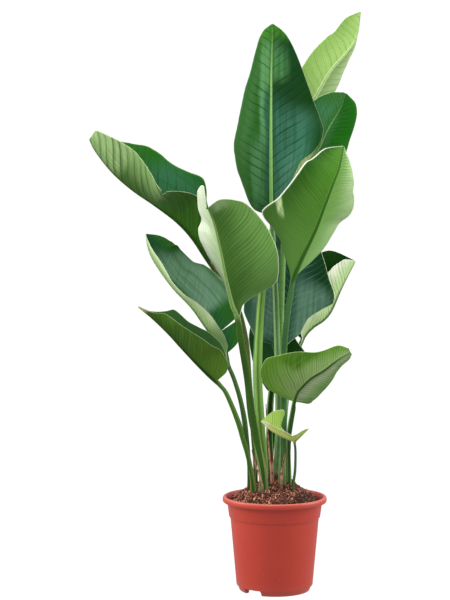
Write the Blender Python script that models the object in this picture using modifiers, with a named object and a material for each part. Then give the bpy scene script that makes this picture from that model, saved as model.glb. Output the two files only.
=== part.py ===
"""Giant white bird of paradise (Strelitzia nicolai) in a plastic nursery pot.

A leaf is one solid: stalk, midrib and both half-blades are one sheet of changing thickness.
The leaves and the dried sheaths stand in holes in the potting mix, which fills the pot.
The recipes below are in centimetres and degrees, and CM turns them into Blender's metres.
+Y points away from the viewer, and the origin is on the pot's axis, on the floor.
"""
import math

import bmesh
import bpy
from mathutils import Matrix, Vector

CM = 0.01

# Pot: an injection-moulded nursery pot, 24 cm across its rim.
RIM_RADIUS = 12.0
POT_HEIGHT = 21.7
POT_STEPS = 40
FOOT_RADIUS = 8.1
FLOOR_LIFT = 0.8
PAD_RADIUS = 3.0
DRAIN_COUNT = 6
DRAIN_RADIUS = 0.6
NOTCH_SIZE = (3.0, 4.5, 2.5)
NOTCH_TURNS = (-129, 51)
POT_INSIDE = ((8.3, FLOOR_LIFT + 0.25), (9.8, 16), (10.05, 17), (10.7, 20.4))

# Potting mix: a low mound, with the root ball standing higher round the stalks.
MIX_GAP = 0.04
MIX_EDGE_Z = 20.2
MIX_RINGS = (0, 1.5, 3, 4.5, 6, 8, 10.56)
MOUND_RISE = 4.2
MOUND_RADIUS = 11.0
CLUMP_RISE = 2.2
CLUMP_RADIUS = 4.1
CLUMP_CENTRE = (0.6, 1.0)
ROOT_Z = 18.0
HOLE_ROOM = 0.15
FOOT_GAP = 0.03

# Leaf sheet: how thick it is, and where its rows lie along the stalk and the blade.
BLADE_THICKNESS = 0.09
KEEL_REACH = 0.5
KEEL_TIP = 0.14
STALK_MARGIN = 0.3
STALK_FOLD = 32
HOLLOW_FROM = 27
HOLLOW_OVER = 12
SHEATH_THICKNESS = 0.08
STALK_ROWS = (0, 0.1, 0.22, 0.36, 0.5, 0.64, 0.78, 0.9, 0.97)
BLADE_ROWS = (0, 0.025, 0.07, 0.12, 0.18, 0.26, 0.34, 0.43, 0.53, 0.63, 0.73, 0.82, 0.9, 0.96, 1)
COLUMNS = (0.45, 0.75, 1)
ROUND_EDGE = ((0, 0.06), (0.04, 0.42), (0.12, 0.72), (0.25, 0.93), (0.4, 1), (0.55, 0.97),
              (0.7, 0.86), (0.85, 0.62), (0.95, 0.33), (1, 0.02))

# Each leaf: where its stalk stands, its stalk and rib through space, the way its upper side
# faces (at the root, the blade's base, middle and tip), and for its two halves the edge, which
# is the half's width from base to tip, the fold at the midrib and the further curl to the edge.
# Half a is on the left of someone who looks at the upper side with the tip up, and half b on
# the right. A pair gives a value at a share of the blade's length, and a lone value holds all
# along. Folds and curls turn up towards the upper side.
LEAVES = {
    "leaf_crown": dict(
        stalk=[(0.5, -0.5, ROOT_Z), (0.5, -0.5, 26), (0.9, 0, 38), (0.8, 1.1, 49), (0.2, 4, 69),
               (-0.3, 5.8, 79.4)],
        rib=[(-0.6, 7, 86.6), (-0.7, 8, 97), (-0.7, 9, 108.6), (-0.6, 10, 120.3),
             (-0.4, 11, 127.8), (-0.4, 11.8, 131.2)],
        face=[(0, -1, 0.1)] * 4, stalk_half=(1.1, 0.7, 0.55),
        edge_a=((0, 0.7), (0.05, 5.2), (0.12, 7.6), (0.2, 9.4), (0.28, 11), (0.38, 11.9),
                (0.5, 10.9), (0.67, 9.1), (0.81, 6.9), (0.93, 5.3), (0.98, 3), (1, 0.3)),
        fold_a=((0, 5), (0.5, -2), (1, -10)), curl_a=((0, -75), (0.6, -78), (1, -90)),
        edge_b=((0, 0.7), (0.04, 4.2), (0.12, 6.6), (0.2, 7.7), (0.26, 8.6), (0.31, 11.5),
                (0.37, 12.8), (0.42, 12.7), (0.5, 11.5), (0.59, 10), (0.72, 7.9), (0.86, 5.4),
                (0.93, 3.6), (0.97, 2), (1, 0.3)),
        fold_b=15, curl_b=((0, 100), (0.33, 30), (0.6, -20), (1, -20))),
    "leaf_top_back": dict(
        stalk=[(1.5, 2, ROOT_Z), (1.5, 2, 27), (1.7, 3.6, 43.5), (1.5, 4.8, 54.5), (1.8, 6.5, 67.7),
               (2.1, 8, 74.5), (2.4, 10.5, 81.7), (3.3, 13.5, 90), (4.5, 16, 98.3)],
        rib=[(6.5, 17.5, 106.5), (8.7, 18, 111.8), (11.2, 18.9, 116.5), (14.1, 19.8, 121.3),
             (18, 21.2, 125.8), (20.3, 22.6, 129.5), (21.4, 24, 135.6)],
        face=[(0, 1, -0.2)] * 4, stalk_half=(1, 0.6, 0.5),
        edge=((0, 0.4), (0.04, 2.6), (0.12, 4.4), (0.25, 5.7), (0.4, 6.1), (0.6, 6.3),
              (0.75, 5.9), (0.85, 5), (0.95, 3.3), (1, 0.3)),
        fold_a=((0, 40), (0.38, 62), (0.6, 80), (1, 85)), fold_b=20),
    "leaf_right_back": dict(
        stalk=[(-2.3, -1.6, ROOT_Z), (-2.3, -1.6, 27.9), (-3.4, -1.5, 38.7), (-4, -0.5, 50),
               (-3.6, 1.8, 60.8), (-3, 4, 68.3), (-2.1, 6, 75.5), (-0.2, 8, 83)],
        rib=[(2.8, 9, 92), (6.5, 10.3, 96.8), (10.5, 11.8, 101.6), (13, 13.1, 106.8),
             (15.9, 14, 111.7), (17.2, 14.5, 115.2)],
        face=[(0.3, -1, 0.1)] * 4, stalk_half=(1, 0.95, 0.6),
        edge_a=((0, 0.5), (0.04, 3.2), (0.12, 5.4), (0.25, 7), (0.4, 7.5), (0.55, 7.5),
                (0.7, 7.1), (0.85, 6), (0.95, 4.1), (1, 0.7)),
        fold_a=((0, -15), (0.4, 0), (1, 10)),
        edge_b=((0, 0.5), (0.04, 3), (0.12, 5.1), (0.25, 6.4), (0.4, 6.6), (0.55, 6.3),
                (0.7, 5.8), (0.85, 4.7), (0.95, 3), (1, 0.4)),
        fold_b=20, curl_b=-30),
    "leaf_front_right": dict(
        stalk=[(1.6, -2.6, ROOT_Z), (1.6, -2.6, 28), (2, -2.3, 37.3), (2, -2.3, 45), (2, -3, 55.3),
               (2.7, -4.2, 63.7), (3.6, -5.2, 69.6)],
        rib=[(3.9, -5.6, 71.9), (5.5, -6.6, 75.9), (8.7, -8.4, 82.8), (10.8, -9.5, 88.5),
             (12.6, -9.7, 93.3), (14, -8.8, 96.8), (14.9, -6.6, 100.6), (15.2, -5.8, 101.7)],
        face=[(0, 1, 0)] * 4, stalk_half=(1.1, 0.65, 0.55),
        edge_a=((0, 0.6), (0.04, 4), (0.12, 8.9), (0.25, 11.5), (0.4, 12.4), (0.5, 12.8),
                (0.6, 12), (0.7, 10.7), (0.85, 7.7), (0.95, 4.3), (1, 0.3)),
        fold_a=((0, 80), (0.06, 75), (0.12, 71), (0.25, 68), (0.4, 66), (0.5, 58), (0.6, 55),
                (1, 54)),
        edge_b=((0, 0.5), (0.04, 1.2), (0.12, 3.5), (0.2, 6.2), (0.25, 8), (0.3, 10.7),
                (0.335, 12.9), (0.37, 13), (0.5, 11.1), (0.6, 10), (0.7, 8.8), (0.8, 7.4),
                (0.9, 5.1), (0.95, 3.6), (1, 0.3)),
        fold_b=8),
    "leaf_front_left": dict(
        stalk=[(-2.7, -3.8, ROOT_Z), (-2.7, -3.8, 26), (-3.2, -3.9, 30), (-5.3, -4.4, 40.3),
               (-6.3, -5, 49), (-7.8, -6.4, 58)],
        rib=[(-8.7, -7, 63.7), (-9.7, -7.6, 66.2), (-11, -9, 71.5), (-12.3, -10.6, 78),
             (-13.7, -12.6, 84), (-14.6, -15, 86.5), (-15.1, -18, 87.6), (-15.4, -21, 87.6)],
        face=[(0, 1, 0), (0, 1, 0), (0, 1, 0.1), (0, 0.3, 1)], stalk_half=(1.3, 0.85, 0.6),
        edge_a=((0, 0.6), (0.04, 1.6), (0.1, 4), (0.16, 10.2), (0.2, 11.3), (0.27, 12),
                (0.4, 12.4), (0.53, 11.7), (0.65, 10.4), (0.78, 7.6), (0.86, 5.4), (0.92, 4),
                (0.97, 2.6), (1, 0.4)),
        fold_a=((0, 10), (0.33, 5), (0.67, 15), (1, 40)),
        edge_b=((0, 0.6), (0.04, 3), (0.15, 8.4), (0.27, 11), (0.4, 12), (0.53, 11.7),
                (0.65, 10.7), (0.74, 9), (0.8, 7.6), (0.88, 5.5), (0.94, 4.2), (1, 0.4)),
        fold_b=((0, 86), (0.15, 85), (0.27, 82), (0.4, 78), (0.53, 72), (0.65, 68), (0.78, 71),
                (0.88, 80), (1, 86))),
    "leaf_upper_left": dict(
        stalk=[(-3.9, 1.6, ROOT_Z), (-3.9, 1.6, 27.4), (-4.7, 2.6, 36.6), (-5.6, 4.4, 48.5),
               (-6.1, 6, 55.4), (-7, 7.4, 60.7), (-8.4, 8.2, 65.1), (-11.7, 8.9, 70.5)],
        rib=[(-15.2, 9.3, 75.5), (-18.9, 9, 81), (-22.8, 8.6, 85.1), (-28.1, 8.1, 89),
             (-33.1, 8, 92.4), (-37.8, 8.2, 96.5), (-41.7, 9.5, 101.3), (-43.3, 11, 104.1)],
        face=[(1, 0, 0.3), (0.7, 0, 0.7), (0.6, 0, 0.8), (0.6, 0, 0.8)],
        stalk_half=(1.1, 0.7, 0.5),
        edge_a=((0, 0.6), (0.04, 5), (0.12, 8.9), (0.25, 11.5), (0.4, 12.4), (0.55, 12),
                (0.65, 11.2), (0.74, 10.3), (0.83, 8.8), (0.905, 6.8), (0.975, 4.5), (1, 0.5)),
        fold_a=((0, 45), (0.3, 39), (0.39, 29), (0.47, 18), (0.55, 27), (0.65, 37), (0.74, 44),
                (0.83, 46), (0.905, 46), (1, 46)),
        edge_b=((0, 0.6), (0.04, 3), (0.12, 5), (0.22, 6.6), (0.29, 10.4), (0.33, 11.8),
                (0.4, 11), (0.5, 10.4), (0.6, 10.8), (0.7, 10.4), (0.76, 9.6), (0.81, 8.4),
                (0.87, 6.6), (0.93, 4), (1, 0.4)),
        fold_b=((0, 75), (0.33, 80), (0.67, 78), (1, 70)),
        tears=[("a", 0.475, 0.3, 0.012)]),
    "leaf_mid_left": dict(
        stalk=[(-5.5, -0.6, ROOT_Z), (-5.5, -0.6, 26.4), (-6.5, 0, 36.5), (-7.6, 0.8, 43.1),
               (-9.1, 1.6, 48.3), (-10.4, 2, 51.5)],
        rib=[(-11.3, 2.6, 54.5), (-13.3, 3, 57.2), (-16.1, 3.4, 59.9), (-19.3, 3.8, 64.9),
             (-23.5, 4, 69.7), (-27.7, 4, 75.5), (-29.6, 4.5, 79), (-29.7, 5.5, 82)],
        face=[(1, 0, 0.3), (0.8, 0, 0.6), (0.8, 0, 0.6), (0.8, 0, 0.6)],
        half_width=9.6, stalk_half=(1.1, 0.65, 0.5),
        fold_a=((0, 20), (0.2, 24), (0.4, 20), (0.58, 9), (1, 8)),
        fold_b=((0, 75), (0.45, 75), (0.55, 70), (0.64, 54), (0.76, 57), (0.85, 68), (1, 72)),
        tears=[("b", 0.14, 0.8, 0.008)]),
    "leaf_low_left": dict(
        stalk=[(-4.8, -3, ROOT_Z), (-4.8, -3, 25), (-6, -3.3, 31.4), (-7, -3.7, 34.9),
               (-8.5, -4.2, 39.8), (-11, -5.2, 46), (-12.6, -5.7, 48.1)],
        rib=[(-13.5, -6, 48.9), (-17, -7, 52.3), (-20.7, -8, 56.2), (-24.2, -8.7, 60),
             (-27.8, -9, 63.4), (-30.9, -9, 65.8)],
        face=[(1, 0, 0.3), (0.7, 0, 0.7), (0.7, 0, 0.7), (0.7, 0, 0.7)],
        stalk_half=(1.2, 0.7, 0.5),
        edge_a=((0, 0.6), (0.04, 4.2), (0.12, 6.5), (0.25, 7.5), (0.37, 7.3), (0.51, 6.6),
                (0.65, 5.4), (0.79, 3.6), (0.85, 1.8), (0.92, 0.7), (1, 0.2)),
        fold_a=((0, 55), (0.2, 55), (0.35, 46), (0.65, 40), (0.8, 48), (1, 50)),
        edge_b=((0, 0.6), (0.04, 4.2), (0.12, 6.3), (0.22, 7.3), (0.35, 7), (0.48, 6),
                (0.6, 5.1), (0.7, 5), (0.74, 4.8), (0.78, 3.4), (0.84, 1.8), (0.9, 0.8), (1, 0.2)),
        fold_b=72),
    "leaf_inner_right": dict(
        stalk=[(-0.9, 3.2, ROOT_Z), (-0.9, 3.2, 27.2), (-1.1, 4.6, 35.1), (-0.7, 6, 43.9),
               (0.5, 7.4, 50.1)],
        rib=[(2.2, 8.8, 55.6), (3.2, 9.8, 61.7), (3.9, 11, 68.7), (4.9, 12.4, 76.5),
             (5.7, 14, 81.7), (6.2, 15.6, 85.7)],
        face=[(0, -1, 0.2)] * 4, stalk_half=(1, 0.8, 0.55),
        edge_a=((0, 0.6), (0.04, 6.4), (0.12, 8.5), (0.25, 10.6), (0.4, 10.6), (0.55, 9.5),
                (0.7, 8), (0.85, 5.8), (0.95, 3.2), (1, 0.2)),
        fold_a=15, curl_a=-20,
        edge_b=((0, 0.6), (0.04, 1.3), (0.12, 3.5), (0.22, 4.8), (0.3, 8), (0.36, 10.6),
                (0.4, 10.7), (0.55, 8.9), (0.7, 7), (0.85, 4.5), (0.95, 2.1), (1, 0.2)),
        fold_b=15, curl_b=-15),
    "leaf_right_low": dict(
        stalk=[(2.1, 4.4, ROOT_Z), (2.1, 4.4, 27.4), (2.4, 7.4, 36), (3.2, 11.2, 43.4),
               (4.4, 14, 50)],
        rib=[(7.2, 16.5, 56.8), (9.5, 17.5, 59.5), (12.2, 18, 61.3), (14.1, 18, 63.6),
             (16.3, 17.6, 68.6), (18.2, 17.2, 71.6), (20, 16.6, 74.8)],
        face=[(-1, -0.2, 0.3), (-0.6, -0.2, 0.8), (-0.8, -0.1, 0.6), (-0.6, 0, 0.8)],
        stalk_half=(0.9, 0.55, 0.45),
        edge_a=((0, 0.6), (0.04, 3.8), (0.12, 6.5), (0.25, 8.6), (0.5, 9.8), (0.75, 9.8),
                (0.88, 8.6), (0.95, 6), (1, 0.8)),
        fold_a=((0, 75), (0.5, 78), (1, 72)),
        edge_b=((0, 0.6), (0.04, 3), (0.12, 5), (0.25, 7), (0.4, 8), (0.55, 8.4), (0.7, 8.4),
                (0.85, 7.6), (0.95, 5.2), (1, 0.8)),
        fold_b=((0, 45), (0.6, 50), (0.8, 40), (1, 40)),
        tears=[("b", 0.5, 0.5, 0.012)]),
    "leaf_front_low": dict(
        stalk=[(3, -1.5, ROOT_Z), (3, -1.5, 26.5), (3.1, -2.1, 34.9), (3.4, -2.8, 38),
               (4, -4.2, 42.1)],
        rib=[(4.3, -5.4, 44.2), (5, -6.8, 46.4), (6.1, -8.4, 48), (7.9, -10.6, 50),
             (10.6, -14, 52.1), (13.3, -17.6, 54.7), (15.8, -20, 56.5)],
        face=[(-0.5, 0.9, 0.2), (-0.4, 0.86, 0.35), (-0.35, 0.75, 0.55), (-0.3, 0.7, 0.6)],
        stalk_half=(1, 0.5, 0.45),
        edge_a=((0, 0.5), (0.03, 3), (0.1, 3.8), (0.25, 4.1), (0.4, 3.9), (0.55, 3.1),
                (0.7, 2), (0.82, 1.6), (0.93, 1.3), (1, 0.5)),
        fold_a=((0, -20), (0.1, -40), (1, -45)),
        edge_b=((0, 0.5), (0.03, 2.8), (0.08, 6.8), (0.16, 10), (0.22, 10.4), (0.31, 8.6),
                (0.46, 5.2), (0.6, 3.6), (0.75, 3), (0.9, 2.6), (1, 1)),
        fold_b=((0, 30), (0.1, 30), (0.31, 42), (0.5, 58), (1, 65))),
    "leaf_small_front": dict(
        stalk=[(4.4, -4, ROOT_Z), (4.4, -4, 24.4), (4.8, -4.3, 28), (4.8, -5, 32.1),
               (4.6, -5.4, 34.2)],
        rib=[(4.2, -5.8, 35.3), (3.5, -6.2, 35.7), (1.9, -6.7, 36.4), (-0.2, -7.1, 37.5),
             (-1.7, -7.2, 38.5), (-3.3, -6.8, 39.8)],
        face=[(1, 0, 0.2), (0.6, -0.1, 0.8), (0.5, -0.1, 0.85), (0.5, -0.1, 0.85)],
        stalk_half=(0.35, 0.28, 0.22), lobe=-1.6,
        edge_a=((0, 4.9), (0.04, 4.2), (0.1, 2.3), (0.2, 2.7), (0.3, 3.6), (0.5, 3.8), (0.8, 3),
                (0.95, 1.3), (1, 0.2)),
        fold_a=((0, 65), (0.1, 50), (0.25, 28), (1, 28)),
        edge_b=((0, 0.3), (0.3, 1), (0.5, 1.8), (0.6, 5), (0.7, 5.4), (0.85, 3.6),
                (0.95, 1.6), (1, 0.2)),
        fold_b=85),
    "leaf_low_back": dict(
        stalk=[(-0.9, 6, ROOT_Z), (-0.9, 6, 26.7), (0.1, 7.4, 35.9), (1.3, 8.4, 41.7)],
        rib=[(2, 9.2, 44.2), (1.4, 11, 48.5), (0.4, 12.8, 53.2), (-0.7, 14, 57.9),
             (-1.7, 15, 62.3), (-2.4, 16, 66.1)],
        face=[(0, -1, 0.2)] * 4, stalk_half=(0.9, 0.6, 0.45),
        edge_a=((0, 0.5), (0.05, 3), (0.12, 4), (0.25, 5), (0.4, 5.6), (0.6, 5.4), (0.8, 3.8),
                (0.93, 1.9), (1, 0.2)),
        edge_b=((0, 0.5), (0.05, 3.4), (0.12, 5), (0.25, 6.8), (0.36, 7.2), (0.5, 6), (0.7, 4.6),
                (0.85, 2.8), (1, 0.2)),
        fold_a=15, curl_a=-20, fold_b=15, curl_b=-20),
}

# Dried sheaths left round the stalks: a narrow curved strip each, rooted in the mix.
SHEATHS = {
    "dry_sheath_left": dict(
        path=[(-2.9, -5.6, ROOT_Z), (-2.9, -5.6, 24.3), (-3.6, -5.4, 27), (-4.6, -5, 29.8),
              (-5.4, -4.8, 33)], half_width=0.5, face=(0.4, 1, 0)),
    "dry_sheath_inner": dict(
        path=[(-0.9, -3, ROOT_Z), (-0.9, -3, 26), (-1.4, -2.9, 33), (-1.9, -2.7, 39),
              (-2.1, -2.6, 43.3)], half_width=0.4, face=(0, 1, 0)),
    "dry_sheath_middle": dict(
        path=[(-0.5, -1.9, ROOT_Z), (-0.5, -1.9, 26), (-0.6, -1.8, 29.5), (-0.2, -1.8, 33.6)],
        half_width=0.35, face=(0, 1, 0)),
    "dry_sheath_right": dict(
        path=[(1.4, -4.5, ROOT_Z), (1.4, -4.5, 26), (1.8, -4.4, 30), (2.5, -4.2, 33.2)],
        half_width=0.6, face=(0, 1, 0)),
}


def paint(name, colour, roughness):
    """A Principled material of one colour."""
    material = bpy.data.materials.new(name)
    material.use_nodes = True
    shader = material.node_tree.nodes["Principled BSDF"]
    shader.inputs["Base Color"].default_value = (*colour, 1)
    shader.inputs["Roughness"].default_value = roughness
    return material


def place(name, mesh, collection, material=None):
    """An object for the mesh, in the collection, wearing the material."""
    thing = bpy.data.objects.new(name, mesh)
    collection.objects.link(thing)
    if material:
        mesh.materials.append(material)
    return thing


def between(stops, at):
    """The value at a place, on a smooth line through (place, value) stops that stays level
    at each highest or lowest stop."""
    if not isinstance(stops, tuple):
        return stops
    places = [place for place, _ in stops]
    values = [value for _, value in stops]
    climbs = [(v2 - v1) / (p2 - p1) for (p1, v1), (p2, v2) in zip(stops, stops[1:])]
    slopes = [climbs[0]]
    for left, right in zip(climbs, climbs[1:]):
        slopes.append(0 if left * right <= 0 else 2 * left * right / (left + right))
    slopes.append(climbs[-1])
    i = max(k for k in range(len(stops) - 1) if places[k] <= at or k == 0)
    span = places[i + 1] - places[i]
    u = min(1, (at - places[i]) / span)
    return (values[i] * (1 + 2 * u) * (1 - u) ** 2 + values[i + 1] * u * u * (3 - 2 * u)
            + span * (slopes[i] * u * (1 - u) ** 2 - slopes[i + 1] * u * u * (1 - u)))


def smooth_through(points, per_span=10):
    """Points along a Catmull-Rom curve through the given ones."""
    given = [Vector(p) for p in points]
    held = [given[0] * 2 - given[1], *given, given[-1] * 2 - given[-2]]
    curve = []
    for a, b, c, d in zip(held, held[1:], held[2:], held[3:]):
        for k in range(per_span):
            u = k / per_span
            curve.append(0.5 * (2 * b + (c - a) * u + (2 * a - 5 * b + 4 * c - d) * u * u
                                + (3 * b - a - 3 * c + d) * u ** 3))
    return curve + [given[-1]]


def station(curve, share):
    """The place and the direction at a share of a curve's length."""
    lengths = [0]
    for a, b in zip(curve, curve[1:]):
        lengths.append(lengths[-1] + (b - a).length)
    goal = share * lengths[-1]
    for i in range(len(curve) - 1):
        if goal <= lengths[i + 1] or i == len(curve) - 2:
            step = curve[i + 1] - curve[i]
            return curve[i] + step * ((goal - lengths[i]) / step.length), step.normalized()


def half_blade(fold, curl, share):
    """How far out and up a half-blade's point lies, per unit of its width."""
    fold, curl = math.radians(fold), math.radians(curl or 0.01)
    turned = fold + curl * share
    return ((math.sin(turned) - math.sin(fold)) / curl, (math.cos(fold) - math.cos(turned)) / curl)


def leaf_rows(leaf):
    """The rows of a leaf from root to tip: place, direction, upper side and both halves."""
    curve = smooth_through(leaf["stalk"] + leaf["rib"])
    split = len(leaf["stalk"]) * 10
    stalk, rib = curve[:split + 1], curve[split:]
    faces = [Vector(f) for f in leaf["face"]]
    root, middle, top = leaf["stalk_half"]
    rows = []
    for share in STALK_ROWS:
        centre, along = station(stalk, share)
        half = between(((0, root), (0.35, middle), (1, top)), share)
        rows.append(dict(centre=centre, along=along, face=faces[0].lerp(faces[1], share),
                         halves={side: (half, STALK_FOLD, 0) for side in "ab"}, lobe=0,
                         keel=half * between(((0, 1), (0.35, 1.2), (1, 1.3)), share),
                         hollow=min(1, max(0, (centre.z - HOLLOW_FROM) / HOLLOW_OVER))))
    shares = list(BLADE_ROWS)
    for _, at, _, gape in leaf.get("tears", ()):
        shares = [s for s in shares if abs(s - at) > 0.025] + [at - gape, at, at + gape]
    for share in sorted(shares):
        centre, along = station(rib, share)
        face = (faces[1].lerp(faces[2], share * 2) if share < 0.5
                else faces[2].lerp(faces[3], share * 2 - 1))
        halves = {}
        for side in "ab":
            if "half_width" in leaf:
                half = leaf["half_width"] * between(ROUND_EDGE, share)
            else:
                half = between(leaf.get("edge_" + side, leaf.get("edge")), share)
            for torn, at, depth, _ in leaf.get("tears", ()):
                if torn == side and share == at:
                    half *= 1 - depth
            halves[side] = (max(half, 0.15, top * (1 - share * 12)),
                            between(leaf["fold_" + side], share),
                            between(leaf.get("curl_" + side, 0), share))
        rows.append(dict(centre=centre, along=along, face=face, halves=halves,
                         lobe=leaf.get("lobe", 1.2) * max(0, 1 - share / 0.3) ** 2,
                         keel=between(((0, top * 1.3), (0.3, 0.45), (1, KEEL_TIP)), share)))
    return rows


def row_points(row):
    """The nine points across a row and the sheet's thickness at each."""
    along = row["along"]
    up = (row["face"] - along * row["face"].dot(along)).normalized()
    across = along.cross(up)
    keel = row["keel"]
    halves = {}
    for side, sign in (("a", -1), ("b", 1)):
        half, fold, curl = row["halves"][side]
        shares = [min(0.3, KEEL_REACH / half), *COLUMNS]
        points = []
        for i, share in enumerate(shares):
            out, rise = half_blade(fold, curl, share)
            back = row["lobe"] * share ** 2 * min(1, half / 6)
            thickness = BLADE_THICKNESS + (keel - BLADE_THICKNESS) * (0.4 if i == 0 else 0)
            if "hollow" in row:
                round_off = 1 - math.sqrt(1 - share ** 2)
                out = share
                rise = (row["hollow"] * math.sin(math.radians(fold)) * share
                        - (1 - row["hollow"]) * 0.5 * keel / half * round_off)
                thickness = max(STALK_MARGIN * half, keel * (1 - round_off))
            point = (row["centre"] + across * (sign * out * half) + up * (rise * half)
                     - along * back)
            points.append((point, thickness))
        halves[side] = points
    return halves["a"][::-1] + [(row["centre"], keel)] + halves["b"]


def strip_rows(sheath):
    """The rows of a dried sheath: a strip, slightly hollow, that narrows to its top."""
    curve = smooth_through(sheath["path"])
    rows = []
    for share in (0, 0.25, 0.5, 0.65, 0.8, 0.92, 1):
        centre, along = station(curve, share)
        face = Vector(sheath["face"])
        up = (face - along * face.dot(along)).normalized()
        across = along.cross(up)
        half = sheath["half_width"] * between(((0, 1), (0.5, 1), (1, 0.15)), share)
        rows.append([(centre + across * half * side + up * half * 0.3 * side * side,
                      SHEATH_THICKNESS) for side in (-1, -0.5, 0, 0.5, 1)])
    return rows


def make_sheet(name, rows, collection, material):
    """One sheet through rows of points, thickened on its underside by Solidify."""
    columns = len(rows[0])
    mesh = bpy.data.meshes.new(name)
    sheet = bmesh.new()
    bmesh.ops.create_grid(sheet, x_segments=columns - 1, y_segments=len(rows) - 1, size=1)
    sheet.verts.ensure_lookup_table()
    thickest = max(thickness for row in rows for _, thickness in row)
    layer = sheet.verts.layers.deform.new()
    for j, row in enumerate(rows):
        for i, (point, thickness) in enumerate(row):
            vertex = sheet.verts[j * columns + i]
            vertex.co = point * CM
            vertex[layer][0] = thickness / thickest
    bmesh.ops.triangulate(sheet, faces=sheet.faces, quad_method="FIXED")
    sheet.to_mesh(mesh)
    sheet.free()
    thing = place(name, mesh, collection, material)
    thing.vertex_groups.new(name="thickness")
    solid = thing.modifiers.new("thickness", "SOLIDIFY")
    solid.thickness = thickest * CM
    solid.offset = -1
    solid.vertex_group = "thickness"
    mesh.shade_smooth()
    return thing


def turned(name, profile, collection, steps):
    """A round shape from an outline in centimetres that runs down its outer side."""
    mesh = bpy.data.meshes.new(name)
    outline = [(radius * CM, 0, z * CM) for radius, z in profile]
    mesh.from_pydata(outline, [(i, i + 1) for i in range(len(outline) - 1)], [])
    thing = place(name, mesh, collection)
    screw = thing.modifiers.new("turn", "SCREW")
    screw.steps = screw.render_steps = steps
    screw.use_merge_vertices = True
    screw.merge_threshold = 0.00005
    return thing


def applied(thing):
    """The object with its modifiers made part of its mesh."""
    graph = bpy.context.evaluated_depsgraph_get()
    mesh = bpy.data.meshes.new_from_object(thing.evaluated_get(graph))
    thing.modifiers.clear()
    thing.data = mesh
    return thing


def cut(thing, cutters, name):
    """A Boolean that takes a collection of cutters out of the thing."""
    mod = thing.modifiers.new(name, "BOOLEAN")
    mod.operation = "DIFFERENCE"
    mod.operand_type = "COLLECTION"
    mod.collection = cutters
    mod.solver = "EXACT"


def cutter(name, location, turn, scale, cutters, sides=None):
    """A box, or a cylinder if it has sides, kept out of the model."""
    mesh = bpy.data.meshes.new(name)
    shape = bmesh.new()
    if sides:
        bmesh.ops.create_cone(shape, cap_ends=True, segments=sides, radius1=1, radius2=1, depth=1)
    else:
        bmesh.ops.create_cube(shape, size=1)
    spread = Matrix.Diagonal([s * CM for s in scale]).to_4x4()
    where = Matrix.Translation([c * CM for c in location]) @ Matrix.Rotation(turn, 4, "Z")
    bmesh.ops.transform(shape, matrix=where @ spread, verts=shape.verts)
    shape.to_mesh(mesh)
    shape.free()
    thing = place(name, mesh, cutters)
    thing.hide_render = True
    thing.display_type = "WIRE"
    return thing


def make_pot(collection, pot_cutters):
    """The pot: a turned wall and floor, with drain holes and notches in its foot."""
    profile = [
        (0, POT_INSIDE[0][1]), *POT_INSIDE, (11.1, POT_HEIGHT - 0.3), (11.3, POT_HEIGHT),
        (11.75, POT_HEIGHT), (RIM_RADIUS, POT_HEIGHT - 0.3), (RIM_RADIUS, POT_HEIGHT - 1.1),
        (11.75, POT_HEIGHT - 1.35), (10.95, POT_HEIGHT - 1.4), (10.5, 17), (10.25, 16.85),
        (10.15, 16.2), (8.8, 1.25), (8.4, 0.9), (FOOT_RADIUS, 0), (7.1, 0), (6.9, FLOOR_LIFT),
        (3.2, FLOOR_LIFT), (PAD_RADIUS, 0), (0, 0)]
    pot = turned("pot", profile, collection, POT_STEPS)
    for k in range(DRAIN_COUNT):
        turn = math.tau * (k + 0.5) / DRAIN_COUNT
        cutter(f"drain_{k}", (5 * math.cos(turn), 5 * math.sin(turn), 1), turn,
               (DRAIN_RADIUS, DRAIN_RADIUS, 2), pot_cutters, sides=12)
    for k, degrees in enumerate(NOTCH_TURNS):
        turn = math.radians(degrees)
        cutter(f"notch_{k}", (7.9 * math.cos(turn), 7.9 * math.sin(turn), 0), turn,
               NOTCH_SIZE, pot_cutters)
    cut(pot, pot_cutters, "drains")
    pot.data.materials.append(paint("terracotta plastic", (0.45, 0.06, 0.035), 0.45))
    return pot


def mix_height(x, y):
    """The height of the potting mix's top, in centimetres."""
    reach = math.hypot(x, y) / MOUND_RADIUS
    clump = math.hypot(x - CLUMP_CENTRE[0], y - CLUMP_CENTRE[1]) / CLUMP_RADIUS
    return (MIX_EDGE_Z + MOUND_RISE * max(0, 1 - reach ** 2)
            + CLUMP_RISE * math.exp(-clump ** 4))


def make_mix(collection, stem_cutters):
    """The potting mix: it fills the pot, mounds up, and has a plain hole for each stalk."""
    rings = [(radius, MIX_EDGE_Z) for radius in MIX_RINGS]
    walls = [(radius - MIX_GAP, z) for radius, z in POT_INSIDE[2:0:-1]]
    floor = POT_INSIDE[0][1] + MIX_GAP
    profile = rings + walls + [(POT_INSIDE[0][0] - MIX_GAP, floor), (0, floor)]
    mix = applied(turned("potting_mix", profile, collection, POT_STEPS))
    for vertex in mix.data.vertices:
        if vertex.co.z > (MIX_EDGE_Z - 0.1) * CM:
            vertex.co.z = mix_height(vertex.co.x / CM, vertex.co.y / CM) * CM
    cut(mix, stem_cutters, "stalk holes")
    mix.data.materials.append(paint("coir mix", (0.16, 0.05, 0.03), 0.95))
    return mix


def stalk_hole(name, leaf, cutters):
    """An oval hole that a leaf's stalk stands in."""
    x, y, _ = leaf["stalk"][0]
    face = Vector(leaf["face"][0])
    back = Vector((face.x, face.y)).normalized()
    half = leaf["stalk_half"][0]
    cutter(name, (x - back.x * half / 2, y - back.y * half / 2, ROOT_Z + 10 - FOOT_GAP),
           math.atan2(face.y, face.x) - math.pi / 2,
           (half + HOLE_ROOM, half / 2 + HOLE_ROOM, 20), cutters, sides=16)


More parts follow.
